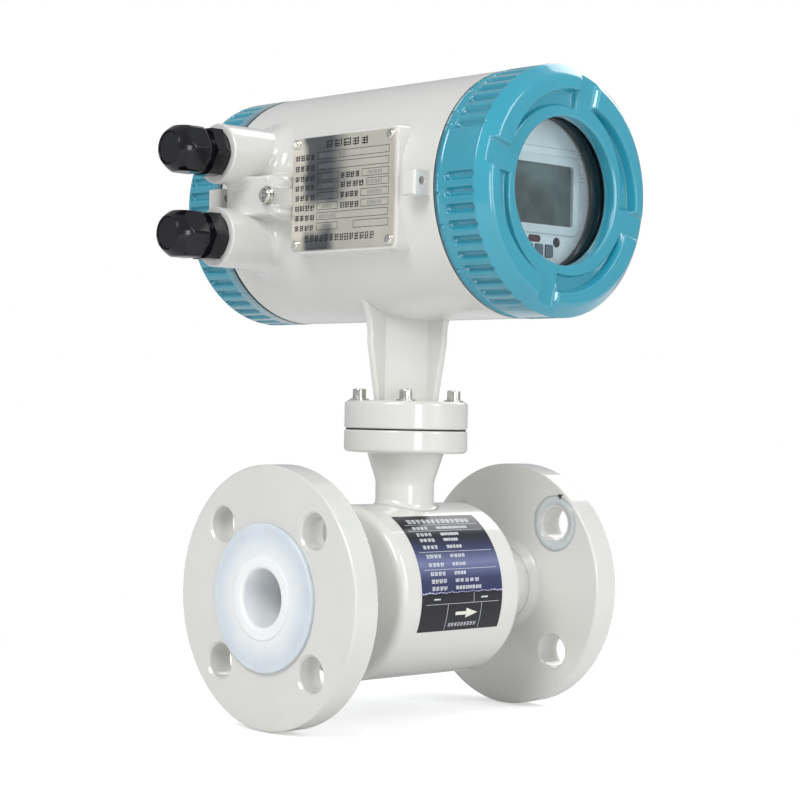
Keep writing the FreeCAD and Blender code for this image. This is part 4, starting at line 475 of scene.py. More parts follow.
def make_piece(name, points, faces, material, body, smooth=True):
    """A mesh at the origin from points in millimetres and quads, its doubles merged, on its body."""
    mesh = bpy.data.meshes.new(name)
    mesh.vertices.add(len(points))
    mesh.vertices.foreach_set("co", (np.asarray(points, float) * MM).ravel())
    mesh.loops.add(faces.size)
    mesh.loops.foreach_set("vertex_index", np.ascontiguousarray(faces, dtype=np.int32).ravel())
    mesh.polygons.add(len(faces))
    mesh.polygons.foreach_set("loop_start", np.arange(0, faces.size, faces.shape[1], dtype=np.int32))
    mesh.polygons.foreach_set("use_smooth", np.full(len(faces), smooth))
    mesh.update(calc_edges=True)
    welded = bmesh.new()
    welded.from_mesh(mesh)
    bmesh.ops.remove_doubles(welded, verts=welded.verts, dist=WELD)
    bmesh.ops.recalc_face_normals(welded, faces=welded.faces)
    welded.to_mesh(mesh)
    welded.free()
    mesh.materials.append(material)
    piece = bpy.data.objects.new(name, mesh)
    bpy.context.scene.collection.objects.link(piece)
    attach(piece, body)
    return piece


def soft_low(a, b, k):
    """The lower of two values: half their sum less half the root of difference squared and k squared."""
    return 0.5 * (a + b - np.sqrt((a - b) ** 2 + k * k))


def soft_step(x, width):
    """From 0 to 1 as x passes zero: half of one plus the hyperbolic tangent of x over the width."""
    return 0.5 + 0.5 * np.tanh(STEP_SLOPE * x / width)


def bent(corners):
    """A closed profile whose corners (x, y, round) each become three points on a small arc."""
    corner = np.array(corners, float)
    here, size = corner[:, :2], corner[:, 2:3]
    back = np.roll(here, 1, 0) - here
    ahead = np.roll(here, -1, 0) - here
    back /= np.linalg.norm(back, axis=1)[:, None]
    ahead /= np.linalg.norm(ahead, axis=1)[:, None]
    middle = here + (back + ahead) * size * ARC_SHARE
    return np.stack([here + back * size, middle, here + ahead * size], 1).reshape(-1, 2)


# %% [markdown]
# ## The two screw covers
# A cover is cast in aluminium and sprayed, so no edge on it is sharp.  Its side carries four
# groups of ten grip grooves.  Its face has four raised lobes with a channel between each two, and
# a crescent pocket in front of each lobe.  Cutters would leave hard edges, so here the side is a
# radius over angle and height, and the face is a height over angle and radius, with a soft step
# wherever a form starts or ends.

# %% Cover sizes
AXIS_Z = 207.6              # the converter's axis above the flow axis
FRONT_MOUTH, REAR_MOUTH = 80.7, 83.7    # of the barrel, from the neck's axis
COVER_R, COVER_SIDE, COVER_TOP, COVER_TOP_R = 63.6, 27.6, 33.8, 57.2
RING_R, RING_H, WINDOW_R = 46.5, 31.0, 37.3
CLOCKING, CHANNEL = 165.0, 6.25         # angle of a channel, and half its width
POCKET_H, SPREAD = 28.2, 4.6            # height of a pocket's floor, and half its width at its end
GROOVES, GROOVE_PITCH, GROOVE_R, GROOVE_FLOOR = 10, 7.3, 2.2, 60.9
GROOVE_START, GROOVE_END, GROOVE_TAPER = 7.6, 27.6, 1.4
GROOVE_SOFT, LOBE_SOFT = 0.28, 0.9      # how far the edges of grooves and lobes are rounded
GROOVE_LIP, LIP_REACH = 1.5, 0.3        # how steeply the side takes over beside a groove
CAST_SOFT = 0.8             # width over which a cast edge turns
SPIGOT_R, SKIRT_R, SKIRT_LOW, SEAT_H = 55.5, 58.7, -12.5, 1.3
GLASS_SEAT_R, GLASS_FRONT, GLASS_BACK, RECESS_R, RECESS_H = 42.4, 24.0, 12.8, 47.4, 18.0
PLAIN, FACE, GROOVED = 0, 1, 2          # kinds of profile row
ROUND_STEPS = 720


def quarter_angle(turn, offset):
    """Signed angle to the nearest of four directions a quarter turn apart."""
    return (turn - CLOCKING - offset + 45.0) % 90.0 - 45.0


def groove_radius(turn, height, radius):
    """The side's radius: the lower of the plain side and round troughs with tapered ends."""
    off = quarter_angle(turn, 45.0)
    last = (GROOVES - 1) / 2
    number = np.clip(np.round(off / GROOVE_PITCH - 0.5) + 0.5, -last, last)
    across = np.abs(np.radians(off - number * GROOVE_PITCH) * COVER_R)
    taper = np.clip(np.minimum(height - GROOVE_START, GROOVE_END - height) / GROOVE_TAPER, 0.0, 1.0)
    width = GROOVE_R * taper
    trough = np.sqrt(np.maximum(width ** 2 - across ** 2, 0.0))
    outside = np.clip((across - width) / LIP_REACH, 0.0, 1.0) * GROOVE_LIP
    return soft_low(radius, GROOVE_FLOOR + GROOVE_R - trough + outside, GROOVE_SOFT)


def face_height(turn, radius, pockets):
    """The face's height: lobes over a ring, parted by four channels, with four crescent pockets."""
    slope = COVER_SIDE + (COVER_R - radius) * (COVER_TOP - COVER_SIDE) / (COVER_R - COVER_TOP_R)
    lobe = soft_low(slope, COVER_TOP, LOBE_SOFT)
    floor = soft_low(slope, RING_H, LOBE_SOFT)
    across = np.abs(radius * np.sin(np.radians(quarter_angle(turn, 0.0))))
    raised = soft_step(radius - RING_R, CAST_SOFT) * soft_step(across - CHANNEL, CAST_SOFT * 1.5)
    height = floor + (lobe - floor) * raised
    edge = math.degrees(math.asin(CHANNEL / RING_R))
    sweep = 90.0 - 2 * edge
    share = (CLOCKING - edge - turn) % 90.0 / sweep
    inside = soft_step(SPREAD * share - np.abs(radius - RING_R), CAST_SOFT)
    ended = soft_step(np.radians(sweep * (1.0 - share)) * RING_R, CAST_SOFT)
    pocket = inside * ended if pockets else 0.0
    return height - (height - POCKET_H) * pocket


def cover_rows(face_radii, inside):
    """The profile's rows of radius, height and kind, from the spigot up the side and over the face."""
    skirt = bent([(SPIGOT_R, SKIRT_LOW, 0.3), (SKIRT_R, SKIRT_LOW, 0.6), (SKIRT_R, SEAT_H, 0.1),
                  (COVER_R, SEAT_H, 0.6)])
    side = np.concatenate([np.linspace(7.4, 9.4, 10), np.linspace(11.0, 24.5, 5),
                           np.linspace(25.6, 27.5, 10)])
    rows = [(skirt[:, 0], skirt[:, 1], PLAIN), (np.full_like(side, COVER_R), side, GROOVED),
            (face_radii, np.zeros_like(face_radii), FACE), (inside[:, 0], inside[:, 1], PLAIN)]
    return np.concatenate([np.stack([radius, height, np.full_like(radius, kind)], 1)
                           for radius, height, kind in rows])


def cover_grid(rows, pockets, mouth, way):
    """Rows turned round the axis, way -1 to the front or 1 to the rear of a mouth.  The side's radius
    and the face's height depend on the angle."""
    turn = np.arange(ROUND_STEPS)[None, :] * (360.0 / ROUND_STEPS)
    radius = np.repeat(rows[:, 0:1], ROUND_STEPS, 1)
    height = np.repeat(rows[:, 1:2], ROUND_STEPS, 1)
    height = np.where(rows[:, 2:3] == FACE, face_height(turn, radius, pockets), height)
    radius = np.where(rows[:, 2:3] == GROOVED, groove_radius(turn, height, radius), radius)
    across, up = radius * np.cos(np.radians(turn)), radius * np.sin(np.radians(turn))
    points = np.stack([-way * across, way * (mouth + height), AXIS_Z + up], -1).reshape(-1, 3)
    return points, grid_faces(len(rows), ROUND_STEPS, True, True)


# %% The front cover
window_side = bent([(WINDOW_R, RING_H, 0.8), (WINDOW_R, GLASS_FRONT, 0.2), (GLASS_SEAT_R, GLASS_FRONT, 0.1),
                    (GLASS_SEAT_R, GLASS_BACK, 0.1), (RECESS_R, GLASS_BACK, 0.2), (RECESS_R, RECESS_H, 0.8),
                    (SPIGOT_R, RECESS_H, 0.8)])
# The face's rows lie closest where lobes, ring and pockets turn.
face_radii = np.concatenate([np.linspace(63.3, 57.6, 12), np.linspace(57.1, 52.2, 9),
                             np.linspace(51.9, 41.1, 38), np.linspace(40.4, 38.6, 4)])
points, faces = cover_grid(cover_rows(face_radii, window_side), True, FRONT_MOUTH, -1)
front_cover = make_piece("front_cover_casting", points, faces, teal_enamel, "front_cover")
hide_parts("front_cover")
print("front cover:", len(front_cover.data.polygons), "quads")

# %% [markdown]
# The rear cover closes the terminal compartment.  It is the same casting without the window, so it
# keeps the lobes, channels and grooves, and its face inside the lobes is a plain disc.

# %% The rear cover
REAR_INSIDE = 24.0          # height of the rear cover's inner face
inside = np.array([(40.0, RING_H), (20.0, RING_H), (0.0, RING_H), (0.0, REAR_INSIDE), (30.0, REAR_INSIDE),
                   (SPIGOT_R - 1.0, REAR_INSIDE), (SPIGOT_R - 0.3, REAR_INSIDE - 0.3),
                   (SPIGOT_R, REAR_INSIDE - 1.0)])
face_radii = np.concatenate([np.linspace(63.3, 57.6, 12), np.linspace(57.1, 48.0, 12),
                             np.linspace(47.7, 44.7, 11)])
points, faces = cover_grid(cover_rows(face_radii, inside), False, REAR_MOUTH, 1)
rear_cover = make_piece("rear_cover_casting", points, faces, teal_enamel, "rear_cover")
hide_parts("rear_cover")
print("rear cover:", len(rear_cover.data.polygons), "quads")

# %% [markdown]
# ## Cap nuts of the cable glands
# A gland's cap nut is moulded in nylon: a hexagon for the spanner that runs out in a domed nose,
# so each flat ends in a scallop.  The surface takes, at each angle and height, the lower of the
# hexagon's radius and the dome's.

# %% The cap nuts
BOSS_Y, BOSS_RISE, NUT_X = 53.0, 22.0, -105.0   # where the two nuts sit
NUT_FLATS, NUT_CORNER, NUT_LENGTH, NUT_NOSE = 12.0, 13.4, 18.0, 9.3
NUT_DOME, DOME_POWER = 8.4, 1.7         # height at which the dome starts, and how full it is
DOME_START_R = NUT_CORNER + 0.35
NUT_CHAMFER, MOUTH_CHAMFER = 1.1, 1.6   # slopes of the chamfers at nose and mouth
FLAT_SOFT, DOME_SOFT, CHAMFER_SOFT = 0.1, 0.15, 0.3     # how far each edge is rounded
NECK_BORE, NECK_DEPTH, PLUG_BORE, PLUG_MOUTH = 10.5, 13.0, 8.5, 9.2
NUT_STEPS = 240


def nut_grid(heights):
    """Radius over angle and height: the lowest of hexagon, corner circle, dome and two chamfers."""
    turn = np.arange(NUT_STEPS)[None, :] * (360.0 / NUT_STEPS)
    height = heights[:, None]
    hexagon = NUT_FLATS / np.cos(np.radians(turn % 60.0 - 30.0))
    share = np.clip((height - NUT_DOME) / (NUT_LENGTH - NUT_DOME), 0.0, 1.0)
    dome = DOME_START_R - (DOME_START_R - NUT_NOSE) * share ** DOME_POWER
    body = soft_low(soft_low(hexagon, NUT_CORNER, FLAT_SOFT), dome, DOME_SOFT)
    edge = soft_low(body, NUT_NOSE + NUT_CHAMFER * (NUT_LENGTH + 0.3 - height), CHAMFER_SOFT)
    radius = soft_low(edge, NUT_CORNER - 0.9 + MOUTH_CHAMFER * height, CHAMFER_SOFT)
    return turn, radius, np.repeat(height, NUT_STEPS, 1)


def cap_nut(name, body, side):
    """A nut from its mouth on the neck to its nose, with the bore that takes neck and plug."""
    heights = np.concatenate([np.linspace(0.0, 0.8, 4), np.linspace(2.0, 8.0, 5),
                              np.linspace(8.6, 17.6, 28), [NUT_LENGTH - 0.15, NUT_LENGTH]])
    turn, radius, height = nut_grid(heights)
    bore = bent([(PLUG_BORE, NUT_LENGTH, 0.3), (PLUG_BORE, NECK_DEPTH, 0.1), (NECK_BORE, NECK_DEPTH, 0.1),
                 (NECK_BORE, 0.0, 0.3)])
    bore[0] = (PLUG_MOUTH, NUT_LENGTH)
    radius = np.concatenate([radius, np.repeat(bore[:, :1], NUT_STEPS, 1)])
    height = np.concatenate([height, np.repeat(bore[:, 1:], NUT_STEPS, 1)])
    turn = np.radians(np.repeat(turn, len(radius), 0))
    across, up = BOSS_Y + radius * np.cos(turn), AXIS_Z + side * BOSS_RISE - radius * np.sin(turn)
    points = np.stack([NUT_X - height, across, up], -1).reshape(-1, 3)
    nut = make_piece(name, points, grid_faces(len(radius), NUT_STEPS, True, True), black_nylon, body)
    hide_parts(body)
    return nut


nuts = [cap_nut("upper_cap_nut", "upper_gland_nut", 1), cap_nut("lower_cap_nut", "lower_gland_nut", -1)]
print("cap nuts:", [len(nut.data.polygons) for nut in nuts], "quads")

# %% [markdown]
# ## Print
# The film label and the nameplate carry rows of data that differ from meter to meter.  They are
# drawn here as strokes that stand for characters, with the real rows, boxes and dividers.  Each
# stroke is a flat patch a few hundredths of a millimetre above its sheet.  It is laid out in the
# sheet's own two coordinates, across and down, and then wrapped onto the sheet.

# %% Strokes on a sheet


def strokes(bars, steps):
    """Patches for bars (left, right, top, bottom): linear across, and in several steps down."""
    left, right, top, bottom = (np.array(bars, float).T)[:, :, None, None]
    side = np.linspace(0, 1, 2)[None, None, :]
    fall = np.linspace(0, 1, steps)[None, :, None]
    across = left + (right - left) * side + 0 * fall
    down = top + (bottom - top) * fall + 0 * side
    single = grid_faces(steps, 2)[:, ::-1]
    faces = single[None] + (np.arange(len(bars)) * steps * 2)[:, None, None]
    return across.ravel(), down.ravel(), faces.reshape(-1, 4)


def word(left, right, top, bottom, glyphs, seed, pen=0.13):
    """Strokes in equal cells: two uprights and three cross bars each, at drawn-by-lot offsets."""
    lot = np.random.default_rng(seed).random((8, glyphs))
    cell, tall = (right - left) / glyphs, bottom - top
    start, pen = left + np.arange(glyphs) * cell, pen * tall
    first, second = start + cell * (0.14 + 0.2 * lot[0]), start + cell * (0.58 + 0.2 * lot[1])
    bars = [(first, first + pen, top + tall * 0.2 * lot[2], bottom + 0 * first),
            (second, second + pen, top + 0 * first, bottom - tall * 0.3 * lot[3])]
    for k, height in enumerate((0.12, 0.45, 0.8)):
        low = top + tall * (height - 0.06 + 0.1 * lot[4 + k])
        bars.append((start + cell * 0.08, start + cell * (0.66 + 0.2 * lot[7]), low, low + pen * 0.8))
    return np.concatenate([np.stack(bar, 1) for bar in bars])


def box(left, right, top, bottom, pen):
    """Four thin strokes round a field."""
    return np.array([(left, right, top, top + pen), (left, right, bottom - pen, bottom),
                     (left, left + pen, top, bottom), (right - pen, right, top, bottom)])


def printed(name, bars, steps, place, lift, ink):
    """Strokes laid onto a sheet by its own mapping, riding with the meter's body."""
    across, down, faces = strokes(bars, steps)
    return make_piece(name, place(across, down, lift), faces, ink, "meter_body", False)


# %% [markdown]
# ### The film label
# The label is a dark film on the round case.  Its upper part is a second layer, whose lower edge
# has lifted into a pale wrinkle.  The flow arrow stays, because it says which way the meter goes.

# %% The film label and its print
LABEL_R, LABEL_TOP = 46.6, math.radians(61.0)
LABEL_LEFT, LABEL_RIGHT = -28.0, 26.0
FILM_LOW, FILM_HIGH = -0.0177, 0.0408   # metres, heights of the film's lower and upper edge
FILM_WAVES = 90.0           # shallow waves in the film, per metre
CAPTIONS = (-24.0, -12.5)   # left and right end of the captions on the label
VALUES = -6.5               # where the label's values start
LAYER_EDGE = 47.2           # where the upper layer ends, measured down the sheet
INK_LIFT = 0.02


def on_label(across, down, lift):
    """Sheet to space: across runs along X, down is an arc length from the label's top edge."""
    turn = LABEL_TOP - down / LABEL_R
    radius = LABEL_R + lift
    return np.stack([across, -radius * np.cos(turn), radius * np.sin(turn)], -1)


def label_film():
    """Dark film with a painted sheen, a violet band of painted reflection: the tone follows the height,
    which is the sine of the angle.
    """
    material, shader, place = surface("label_film", "#17171D", "#121218", 0.01, Roughness=0.16, IOR=1.5)
    height = add(material, "ShaderNodeSeparateXYZ", Vector=place).outputs["Z"]
    share = add(material, "ShaderNodeMapRange", {"From Min": FILM_LOW, "From Max": FILM_HIGH}, Value=height)
    ramp = add(material, "ShaderNodeValToRGB", Fac=share.outputs["Result"])
    # The violet band, brightest at 0.60 of the height, is a painted reflection.
    tones = [(0.0, "#14141C"), (0.335, "#16161F"), (0.35, "#33365A"), (0.46, "#3B3F63"), (0.60, "#727A9F"),
             (0.72, "#3A3F5F"), (0.82, "#20212C"), (1.0, "#101016")]
    while len(ramp.color_ramp.elements) < len(tones):
        ramp.color_ramp.elements.new(0.5)
    for element, (share_down, tone) in zip(ramp.color_ramp.elements, tones):
        element.position, element.color = share_down, linear(tone)
    connect(material, ramp.outputs["Color"], shader, "Base Color")
    waves = add(material, "ShaderNodeTexNoise", {"Scale": FILM_WAVES, "Detail": 2.0}, Vector=place)
    bumps(material, shader, waves.outputs["Fac"], 0.0002, 0.3)
    return material


film = label_film()
pale_ink = surface("pale_ink", "#D9DCDF", "#C9CCD2", 0.003, Roughness=0.4)[0]
cream_ink = surface("cream_ink", "#E8E8DC", "#DEDED2", 0.003, Roughness=0.4)[0]
wrinkle_white = surface("lifted_film_edge", "#C9C6E2", "#9C9AC0", 0.002, Roughness=0.25)[0]

# Each row's middle, measured down the sheet, its value's right end and its number of characters.
# A word takes its left, right, top and bottom, its number of characters, a seed and a pen width.
VALUE_ROWS = [(10.1, 16.5, 13), (14.6, 7.0, 8), (18.2, 4.5, 6), (22.5, 5.0, 5), (27.8, 5.0, 4),
              (32.4, 3.5, 4), (37.2, 2.5, 4), (41.1, 11.5, 5), (44.9, 13.0, 8)]
bars = [word(-24.5, 22.0, 3.2, 6.6, 13, 1, 0.18)]
for seed, (middle, end, glyphs) in enumerate(VALUE_ROWS):
    bars.append(word(*CAPTIONS, middle - 1.1, middle + 1.1, 4, seed + 2, 0.2))
    bars.append(word(VALUES, end, middle - 1.0, middle + 0.9, glyphs, seed + 20, 0.24))
bars.append(word(-10.0, 11.0, 63.4, 65.6, 9, 40))
bars.append(np.array([(-22.5, -17.7, 50.1, 50.9), (12.5, 17.5, 50.1, 50.9)]))
bars = np.concatenate(bars)
RULE = 0.22                 # thickness of a ruled line
lines = np.array([(LABEL_LEFT, LABEL_RIGHT, top, top + RULE) for top in (7.6, 12.0, 25.2, 35.0, 53.0)]
                 + [(7.0, 7.25, 47.9, 52.6), (-12.0, -11.75, 53.4, 67.2), (13.0, 13.25, 53.4, 67.2)])
printed("label_words", bars, 3, on_label, INK_LIFT, pale_ink)
printed("label_lines", lines, 14, on_label, INK_LIFT, pale_ink)

ARROW = np.array([(-5.7, 0.9), (2.0, 0.9), (2.0, 2.65), (10.5, 0.0)])   # across, half width
ARROW_DOWN = 58.5           # of its middle line
ends = np.linspace(-1.0, 1.0, 9)[:, None]
across, down = np.broadcast_arrays(ARROW[:, 0] + 0 * ends, ARROW_DOWN + ends * ARROW[:, 1])
arrow = on_label(across, down, INK_LIFT).reshape(-1, 3)
make_piece("flow_arrow", arrow, grid_faces(len(ends), len(ARROW))[:, ::-1], cream_ink, "meter_body", False)

# The lifted edge: two sines carry its middle line, and its width swells towards both ends.
run = np.linspace(-31.0, 28.6, 240)
ripple = LAYER_EDGE + 0.22 * np.sin(0.8 * run) + 0.14 * np.sin(2.3 * run + 1.0)
width = 0.08 + 0.34 * np.abs(np.sin(1.3 * run + 0.4)) * (0.25 + (run / 30.0) ** 2)
ends = np.array([-1.0, 1.0])[:, None]
across, down = np.broadcast_arrays(run + 0 * ends, ripple + ends * width)
edge = on_label(across, down, INK_LIFT * 2).reshape(-1, 3)
make_piece("lifted_film_edge", edge, grid_faces(2, len(run))[:, ::-1], wrinkle_white, "meter_body", False)
print("label:", len(bars) + len(lines), "strokes, an arrow and the wrinkle")

# %% [markdown]
# ### The nameplate
# Its boxes and captions are etched into the stainless sheet and filled with dark ink.  The values
# inside the boxes are only scratched in, so they are thinner and paler.

# %% The nameplate's print
PLATE_FACE, PLATE_START, PLATE_TOP = -65.85, 20.9, 236.8


def on_plate(across, down, lift):
    """Sheet to space: across runs towards the display, down is measured from the top edge."""
    return np.stack([np.full_like(across, PLATE_FACE - lift), PLATE_START - across, PLATE_TOP - down], -1)


dark_ink = surface("etched_ink", "#17191C", "#222428", 0.003, Roughness=0.5)[0]
grey_ink = surface("scratched_values", "#6D7074", "#808388", 0.003, Roughness=0.5)[0]
# Each row's top, and where its last box starts or, past WIDE_ROW, where its one wide box ends.
FIELD_ROWS = [(7.9, 72.8), (13.4, 72.8), (18.8, 53.0), (23.6, 56.4), (28.8, 52.2), (34.1, 52.6),
              (39.2, 72.6), (44.5, 47.0)]
WIDE_ROW, LAST_CAPTION = 70.0, 40.0     # rows above LAST_CAPTION have a second caption
FIELD_LEFT, FIELD_MIDDLE, FIELD_RIGHT, FIELD_TALL = 19.2, 35.2, 72.8, 3.9
PEN, SCRATCH = 0.28, 0.09   # width of a box's line, and of a scratched stroke against its height
etched = [word(25.0, 58.5, 2.2, 6.4, 5, 60, 0.17), word(10.0, 63.0, 50.6, 54.4, 14, 61, 0.14)]
scratched = []
for seed, (top, start) in enumerate(FIELD_ROWS):
    bottom = top + FIELD_TALL
    etched.append(word(1.8, 17.4, top + 0.8, bottom - 0.1, 4, seed + 70, 0.2))
    high, low = top + 0.9, bottom - 0.7
    if start > WIDE_ROW:
        etched.append(box(FIELD_LEFT, start, top, bottom, PEN))
        scratched.append(word(20.5, 41.0 if seed == 0 else 34.0, high, low, 7, seed + 90, SCRATCH))
    else:
        etched.append(box(FIELD_LEFT, FIELD_MIDDLE, top, bottom, PEN))
        etched.append(box(start, FIELD_RIGHT, top, bottom, PEN))
        scratched.append(word(23.0, 31.0, high, low, 4, seed + 90, SCRATCH))
        if top < LAST_CAPTION:
            etched.append(word(36.8, start - 1.4, top + 0.6, bottom - 0.2, 4, seed + 80, 0.2))
            scratched.append(word(57.0, 68.0, high, low, 6, seed + 100, SCRATCH))
etched, scratched = np.concatenate(etched), np.concatenate(scratched)
printed("plate_ink", etched, 2, on_plate, INK_LIFT, dark_ink)
printed("plate_values", scratched, 2, on_plate, INK_LIFT, grey_ink)
print("nameplate:", len(etched), "etched strokes,", len(scratched), "scratched")

# %% [markdown]
# ## The casting between the glands
# Where bosses and web run into the barrel, the mould leaves broad fillets.  They are one sheet of
# heights over the side of the barrel: the highest of a base just under the paint, a fillet round
# each gland boss, the web, and the pad and bar round the earth screw.

# %% Fillets of the gland bosses, the web and the earth pad
BODY_R, PAINT_SINK = 63.3, 0.25         # the barrel, and how far the base lies under its paint
BOSS_R, BOSS_FILLET, WEB_FILLET = 15.8, 8.0, 4.0
WEB_LEVEL, WEB_HALF, WEB_START, WEB_END = 78.1, 9.0, 28.0, 61.0
WEB_MARGIN, WEB_SOFT, PAD_SOFT = 2.4, 2.0, 0.9      # past the web's edge, and widths of soft steps
EARTH_AT, EARTH_DROP, PAD_LEVEL, PAD_R, BAR_HALF = 24.3, 1.0, 79.8, 6.6, 5.5
SHEET_DEPTH = 3.0           # how far the sheet's underside lies inside the wall


def quarter_fillet(distance, radius):
    """A round fillet: its radius, less the root of radius squared less (radius less distance) squared."""
    inward = radius - np.clip(distance, 0.0, radius)
    return radius - np.sqrt(radius ** 2 - inward ** 2)


def casting_height(y, z):
    """Distance of the sheet from the barrel's middle plane, over the place along and up the barrel."""
    base = np.sqrt(BODY_R ** 2 - z ** 2) - PAINT_SINK
    to_boss = np.hypot(y - BOSS_Y, np.abs(z) - BOSS_RISE) - BOSS_R
    round_boss = base + quarter_fillet(to_boss, BOSS_FILLET)
    from_earth = np.hypot(y - EARTH_AT, z + EARTH_DROP)
    edge = WEB_HALF + WEB_MARGIN
    beside = soft_step(edge - np.abs(z), WEB_SOFT) * soft_step(y - WEB_START + 2.2, WEB_SOFT)
    beside = beside * soft_step(WEB_END - y, 1.5)
    disc = soft_step(edge - from_earth, 2.6)
    share = np.maximum(beside, disc)
    web = base + (WEB_LEVEL + quarter_fillet(to_boss, WEB_FILLET) - base) * share
    pad = soft_step(PAD_R - from_earth, PAD_SOFT)
    bar = soft_step(BAR_HALF - np.abs(z + EARTH_DROP), PAD_SOFT) * soft_step(EARTH_AT - y, PAD_SOFT)
    top = web + (PAD_LEVEL - web) * np.maximum(pad, bar)
    return np.maximum(np.maximum(round_boss, top), base)


# The sheet runs over its top and back underneath, and its first and last row close its two ends.
y = np.concatenate([np.linspace(21.35, 38.0, 80), np.linspace(38.3, 78.0, 80)])[:, None]
z = np.linspace(-48.0, 48.0, 220)[None, :]
above = casting_height(y, z)
under = np.sqrt(BODY_R ** 2 - z ** 2) - SHEET_DEPTH + 0 * y
out = np.concatenate([above, under[:, ::-1]], 1)
along_y, up_z = np.broadcast_arrays(y, np.concatenate([z, z[:, ::-1]], 1))
out, along_y, up_z = (np.concatenate([a[:1], a, a[-1:]]) for a in (out, along_y, up_z))
out[[0, -1]] = np.concatenate([under[0], under[0, ::-1]])
points = np.stack([-out, along_y, AXIS_Z + up_z], -1).reshape(-1, 3)
faces = grid_faces(len(out), 2 * z.size, False, True)
casting = make_piece("gland_side_fillets", points, faces, white_enamel, "meter_body")
print("casting:", len(casting.data.polygons), "quads")

# %% [markdown]
# ## Small things behind and beside
# The glass is bedded in a thin black ring of sealant, which also stands as painted shade: it
# darkens the crescent past the glass's edge, where the bore lies in shadow.  One hole of the outlet
# flange has a milled seat whose paint is thinner, greyer and glossier, and the paint beside it is
# chipped.  Fine lines are printed beside the screen.

# %% Sealant and painted shade, milled seat, chip and printed lines
RING_STEPS = 240
SEAT_AT, SEAT_X = 35.36, 81.98          # the milled seat: across and up, and along the pipe
SEAT_IN, SEAT_OUT, SEAT_PAINT = 10.3, 15.4, 0.05
SEALANT_IN, SEALANT_OUT, SEALANT_BACK, SEALANT_FRONT = 42.05, 42.35, 17.0, 23.0
CHIP_ACROSS, CHIP_UP, CHIP_DEPTH, CHIP_STRETCH = -4.2, 15.4, -0.62, 1.2
turn = np.linspace(0.0, 2 * math.pi, RING_STEPS, endpoint=False)[None, :]


def turned_ring(inner, outer, back, front, place):
    """A ring of rectangular section: radius times cosine, radius times sine, and depth."""
    radius = np.array([[inner], [outer], [outer], [inner]]) + 0 * turn
    depth = np.array([[back], [back], [front], [front]]) + 0 * turn
    return place(radius * np.cos(turn), radius * np.sin(turn), depth).reshape(-1, 3)


def in_cover(a, b, depth):
    """Across and up from the converter's axis, and forwards from the barrel's mouth."""
    return np.stack([a, -FRONT_MOUTH - depth, AXIS_Z + b], -1)


def on_seat(a, b, depth):
    """Across and up from the milled hole's axis, and into the flange from its rear face."""
    return np.stack([SEAT_X + depth, -SEAT_AT + a, SEAT_AT + b], -1)


ring_faces = grid_faces(4, RING_STEPS, True, True)
# A thin black sheet at the glass seat: sealant, and painted shade for the dark crescent in the bore.
sealant_painted_shade = turned_ring(SEALANT_IN, SEALANT_OUT, SEALANT_BACK, SEALANT_FRONT, in_cover)
make_piece("glass_sealant_painted_shade", sealant_painted_shade, ring_faces, black_rubber, "front_cover")
seat_paint = surface("thin_paint_on_seat", "#CBD1D3", "#D2D6D7", 0.006, Roughness=0.08, IOR=1.5)[0]
seat = turned_ring(SEAT_IN, SEAT_OUT, 0.0, SEAT_PAINT, on_seat)
make_piece("milled_seat_paint", seat, ring_faces, seat_paint, "meter_body")

# The chip is a disc whose radius two sines make ragged.
bare_metal = surface("chipped_paint", "#4A463F", "#2E2B27", 0.001, Roughness=0.6)[0]
ragged = 1.2 + 0.35 * np.sin(3 * turn) + 0.25 * np.sin(5 * turn + 1.0)
share = np.linspace(0.0, 1.0, 4)[:, None]
across = CHIP_ACROSS + CHIP_STRETCH * share * ragged * np.cos(turn)
up = CHIP_UP + share * ragged * np.sin(turn)
chip = on_seat(across, up, CHIP_DEPTH + 0 * share * turn).reshape(-1, 3)
make_piece("paint_chip", chip, grid_faces(4, RING_STEPS, False, True), bare_metal, "meter_body", False)

PANEL_FACE, PANEL_TOP = -92.0, 42.2
FINE = 0.2                  # thickness of a fine line
SHORT_LINES, LONG_LINES = (0.0, 2.0, 4.0, 12.0, 13.5), [(-26.0, 30.0, 18.0), (-24.0, 28.0, 58.0)]
fine_lines = [(29.5, 36.0, 33.5 - rise, 33.7 - rise) for rise in SHORT_LINES]
fine_lines += [(left, right, top, top + FINE) for left, right, top in LONG_LINES]


def on_panel(across, down, lift):
    """Sheet to space: across runs to the right, down is measured from the panel's top."""
    return np.stack([across, np.full_like(across, PANEL_FACE - lift), AXIS_Z + PANEL_TOP - down], -1)


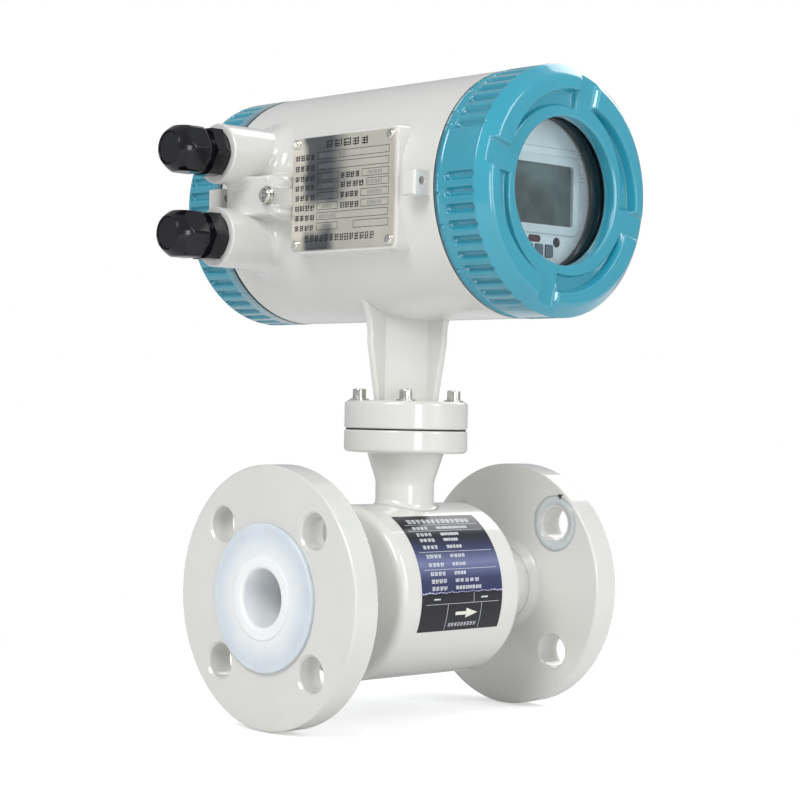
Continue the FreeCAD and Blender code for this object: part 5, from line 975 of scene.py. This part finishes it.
line_ink = surface("printed_lines", "#8391A0", "#76848F", 0.003, Roughness=0.5)[0]
printed("panel_lines", fine_lines, 2, on_panel, INK_LIFT, line_ink)
print("sealant, seat, chip and lines made")

# %% [markdown]
# ## Who wears what
# Each CAD node gets its finish by name, as a parts list names a paint or a plating for each piece.
# The meshes stay as they are.

# %% Finishes of the CAD nodes
FINISHES = {
    white_enamel: ["measuring_tube", "inlet_flange", "outlet_flange", "coil_housing", "sensor_neck",
                   "converter_housing"],
    teal_enamel: ["front_cover", "rear_cover"],
    ptfe: ["ptfe_liner", "electrode_bushes"],
    brushed_plate_painted_reflections: ["nameplate"],
    bright_screw: ["nameplate_screws", "earth_washer", "earth_screw", "neck_screws", "neck_washers",
                   "neck_spring_washers", "electrodes", "electrode_nuts", "base_screws", "terminal_screws",
                   "board_posts"],
    silver_panel: ["display_panel"],
    magnet_steel: ["pole_shoes", "magnetic_yoke", "transformer"],
    black_nylon: ["gland_bodies", "upper_gland_nut", "lower_gland_nut", "upper_gland_plug",
                  "lower_gland_plug"],
    black_rubber: ["window_retaining_ring", "front_o_ring", "rear_o_ring", "window_gasket", "neck_gasket",
                   "neck_bung", "gland_washers", "gland_seals"],
    key_plastic: ["key_1", "key_2", "key_3", "key_4"],
    pale_bezel: ["lcd_bezel"],
    grey_plastic: ["terminal_base", "feed_block", "lead_plug"],
    green_plastic: ["terminal_block"],
    red_lens: ["status_lamp"],
    dark_lens: ["infrared_eye", "capacitors"],
    film: ["sensor_label"],
    cable_sheath: ["sensor_cable"],
    window: ["window_glass"],
    board_green: ["display_board", "main_board", "power_board"],
    copper: ["field_coils"],
    lcd_painted_reflections: ["lcd_module"],
}
for material, names in FINISHES.items():
    for name in names:
        nodes[name].data.materials.clear()
        nodes[name].data.materials.append(material)
dressed = [name for names in FINISHES.values() for name in names]
print("undressed nodes:", sorted(set(nodes) - set(dressed)))

# %% [markdown]
# The last cell prints the box after dressing, beside the box that the first cell printed before it.

# %% Sizes and finish
low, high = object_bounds()
print("visual box:", [round(v, 4) for v in (*low, *high)])
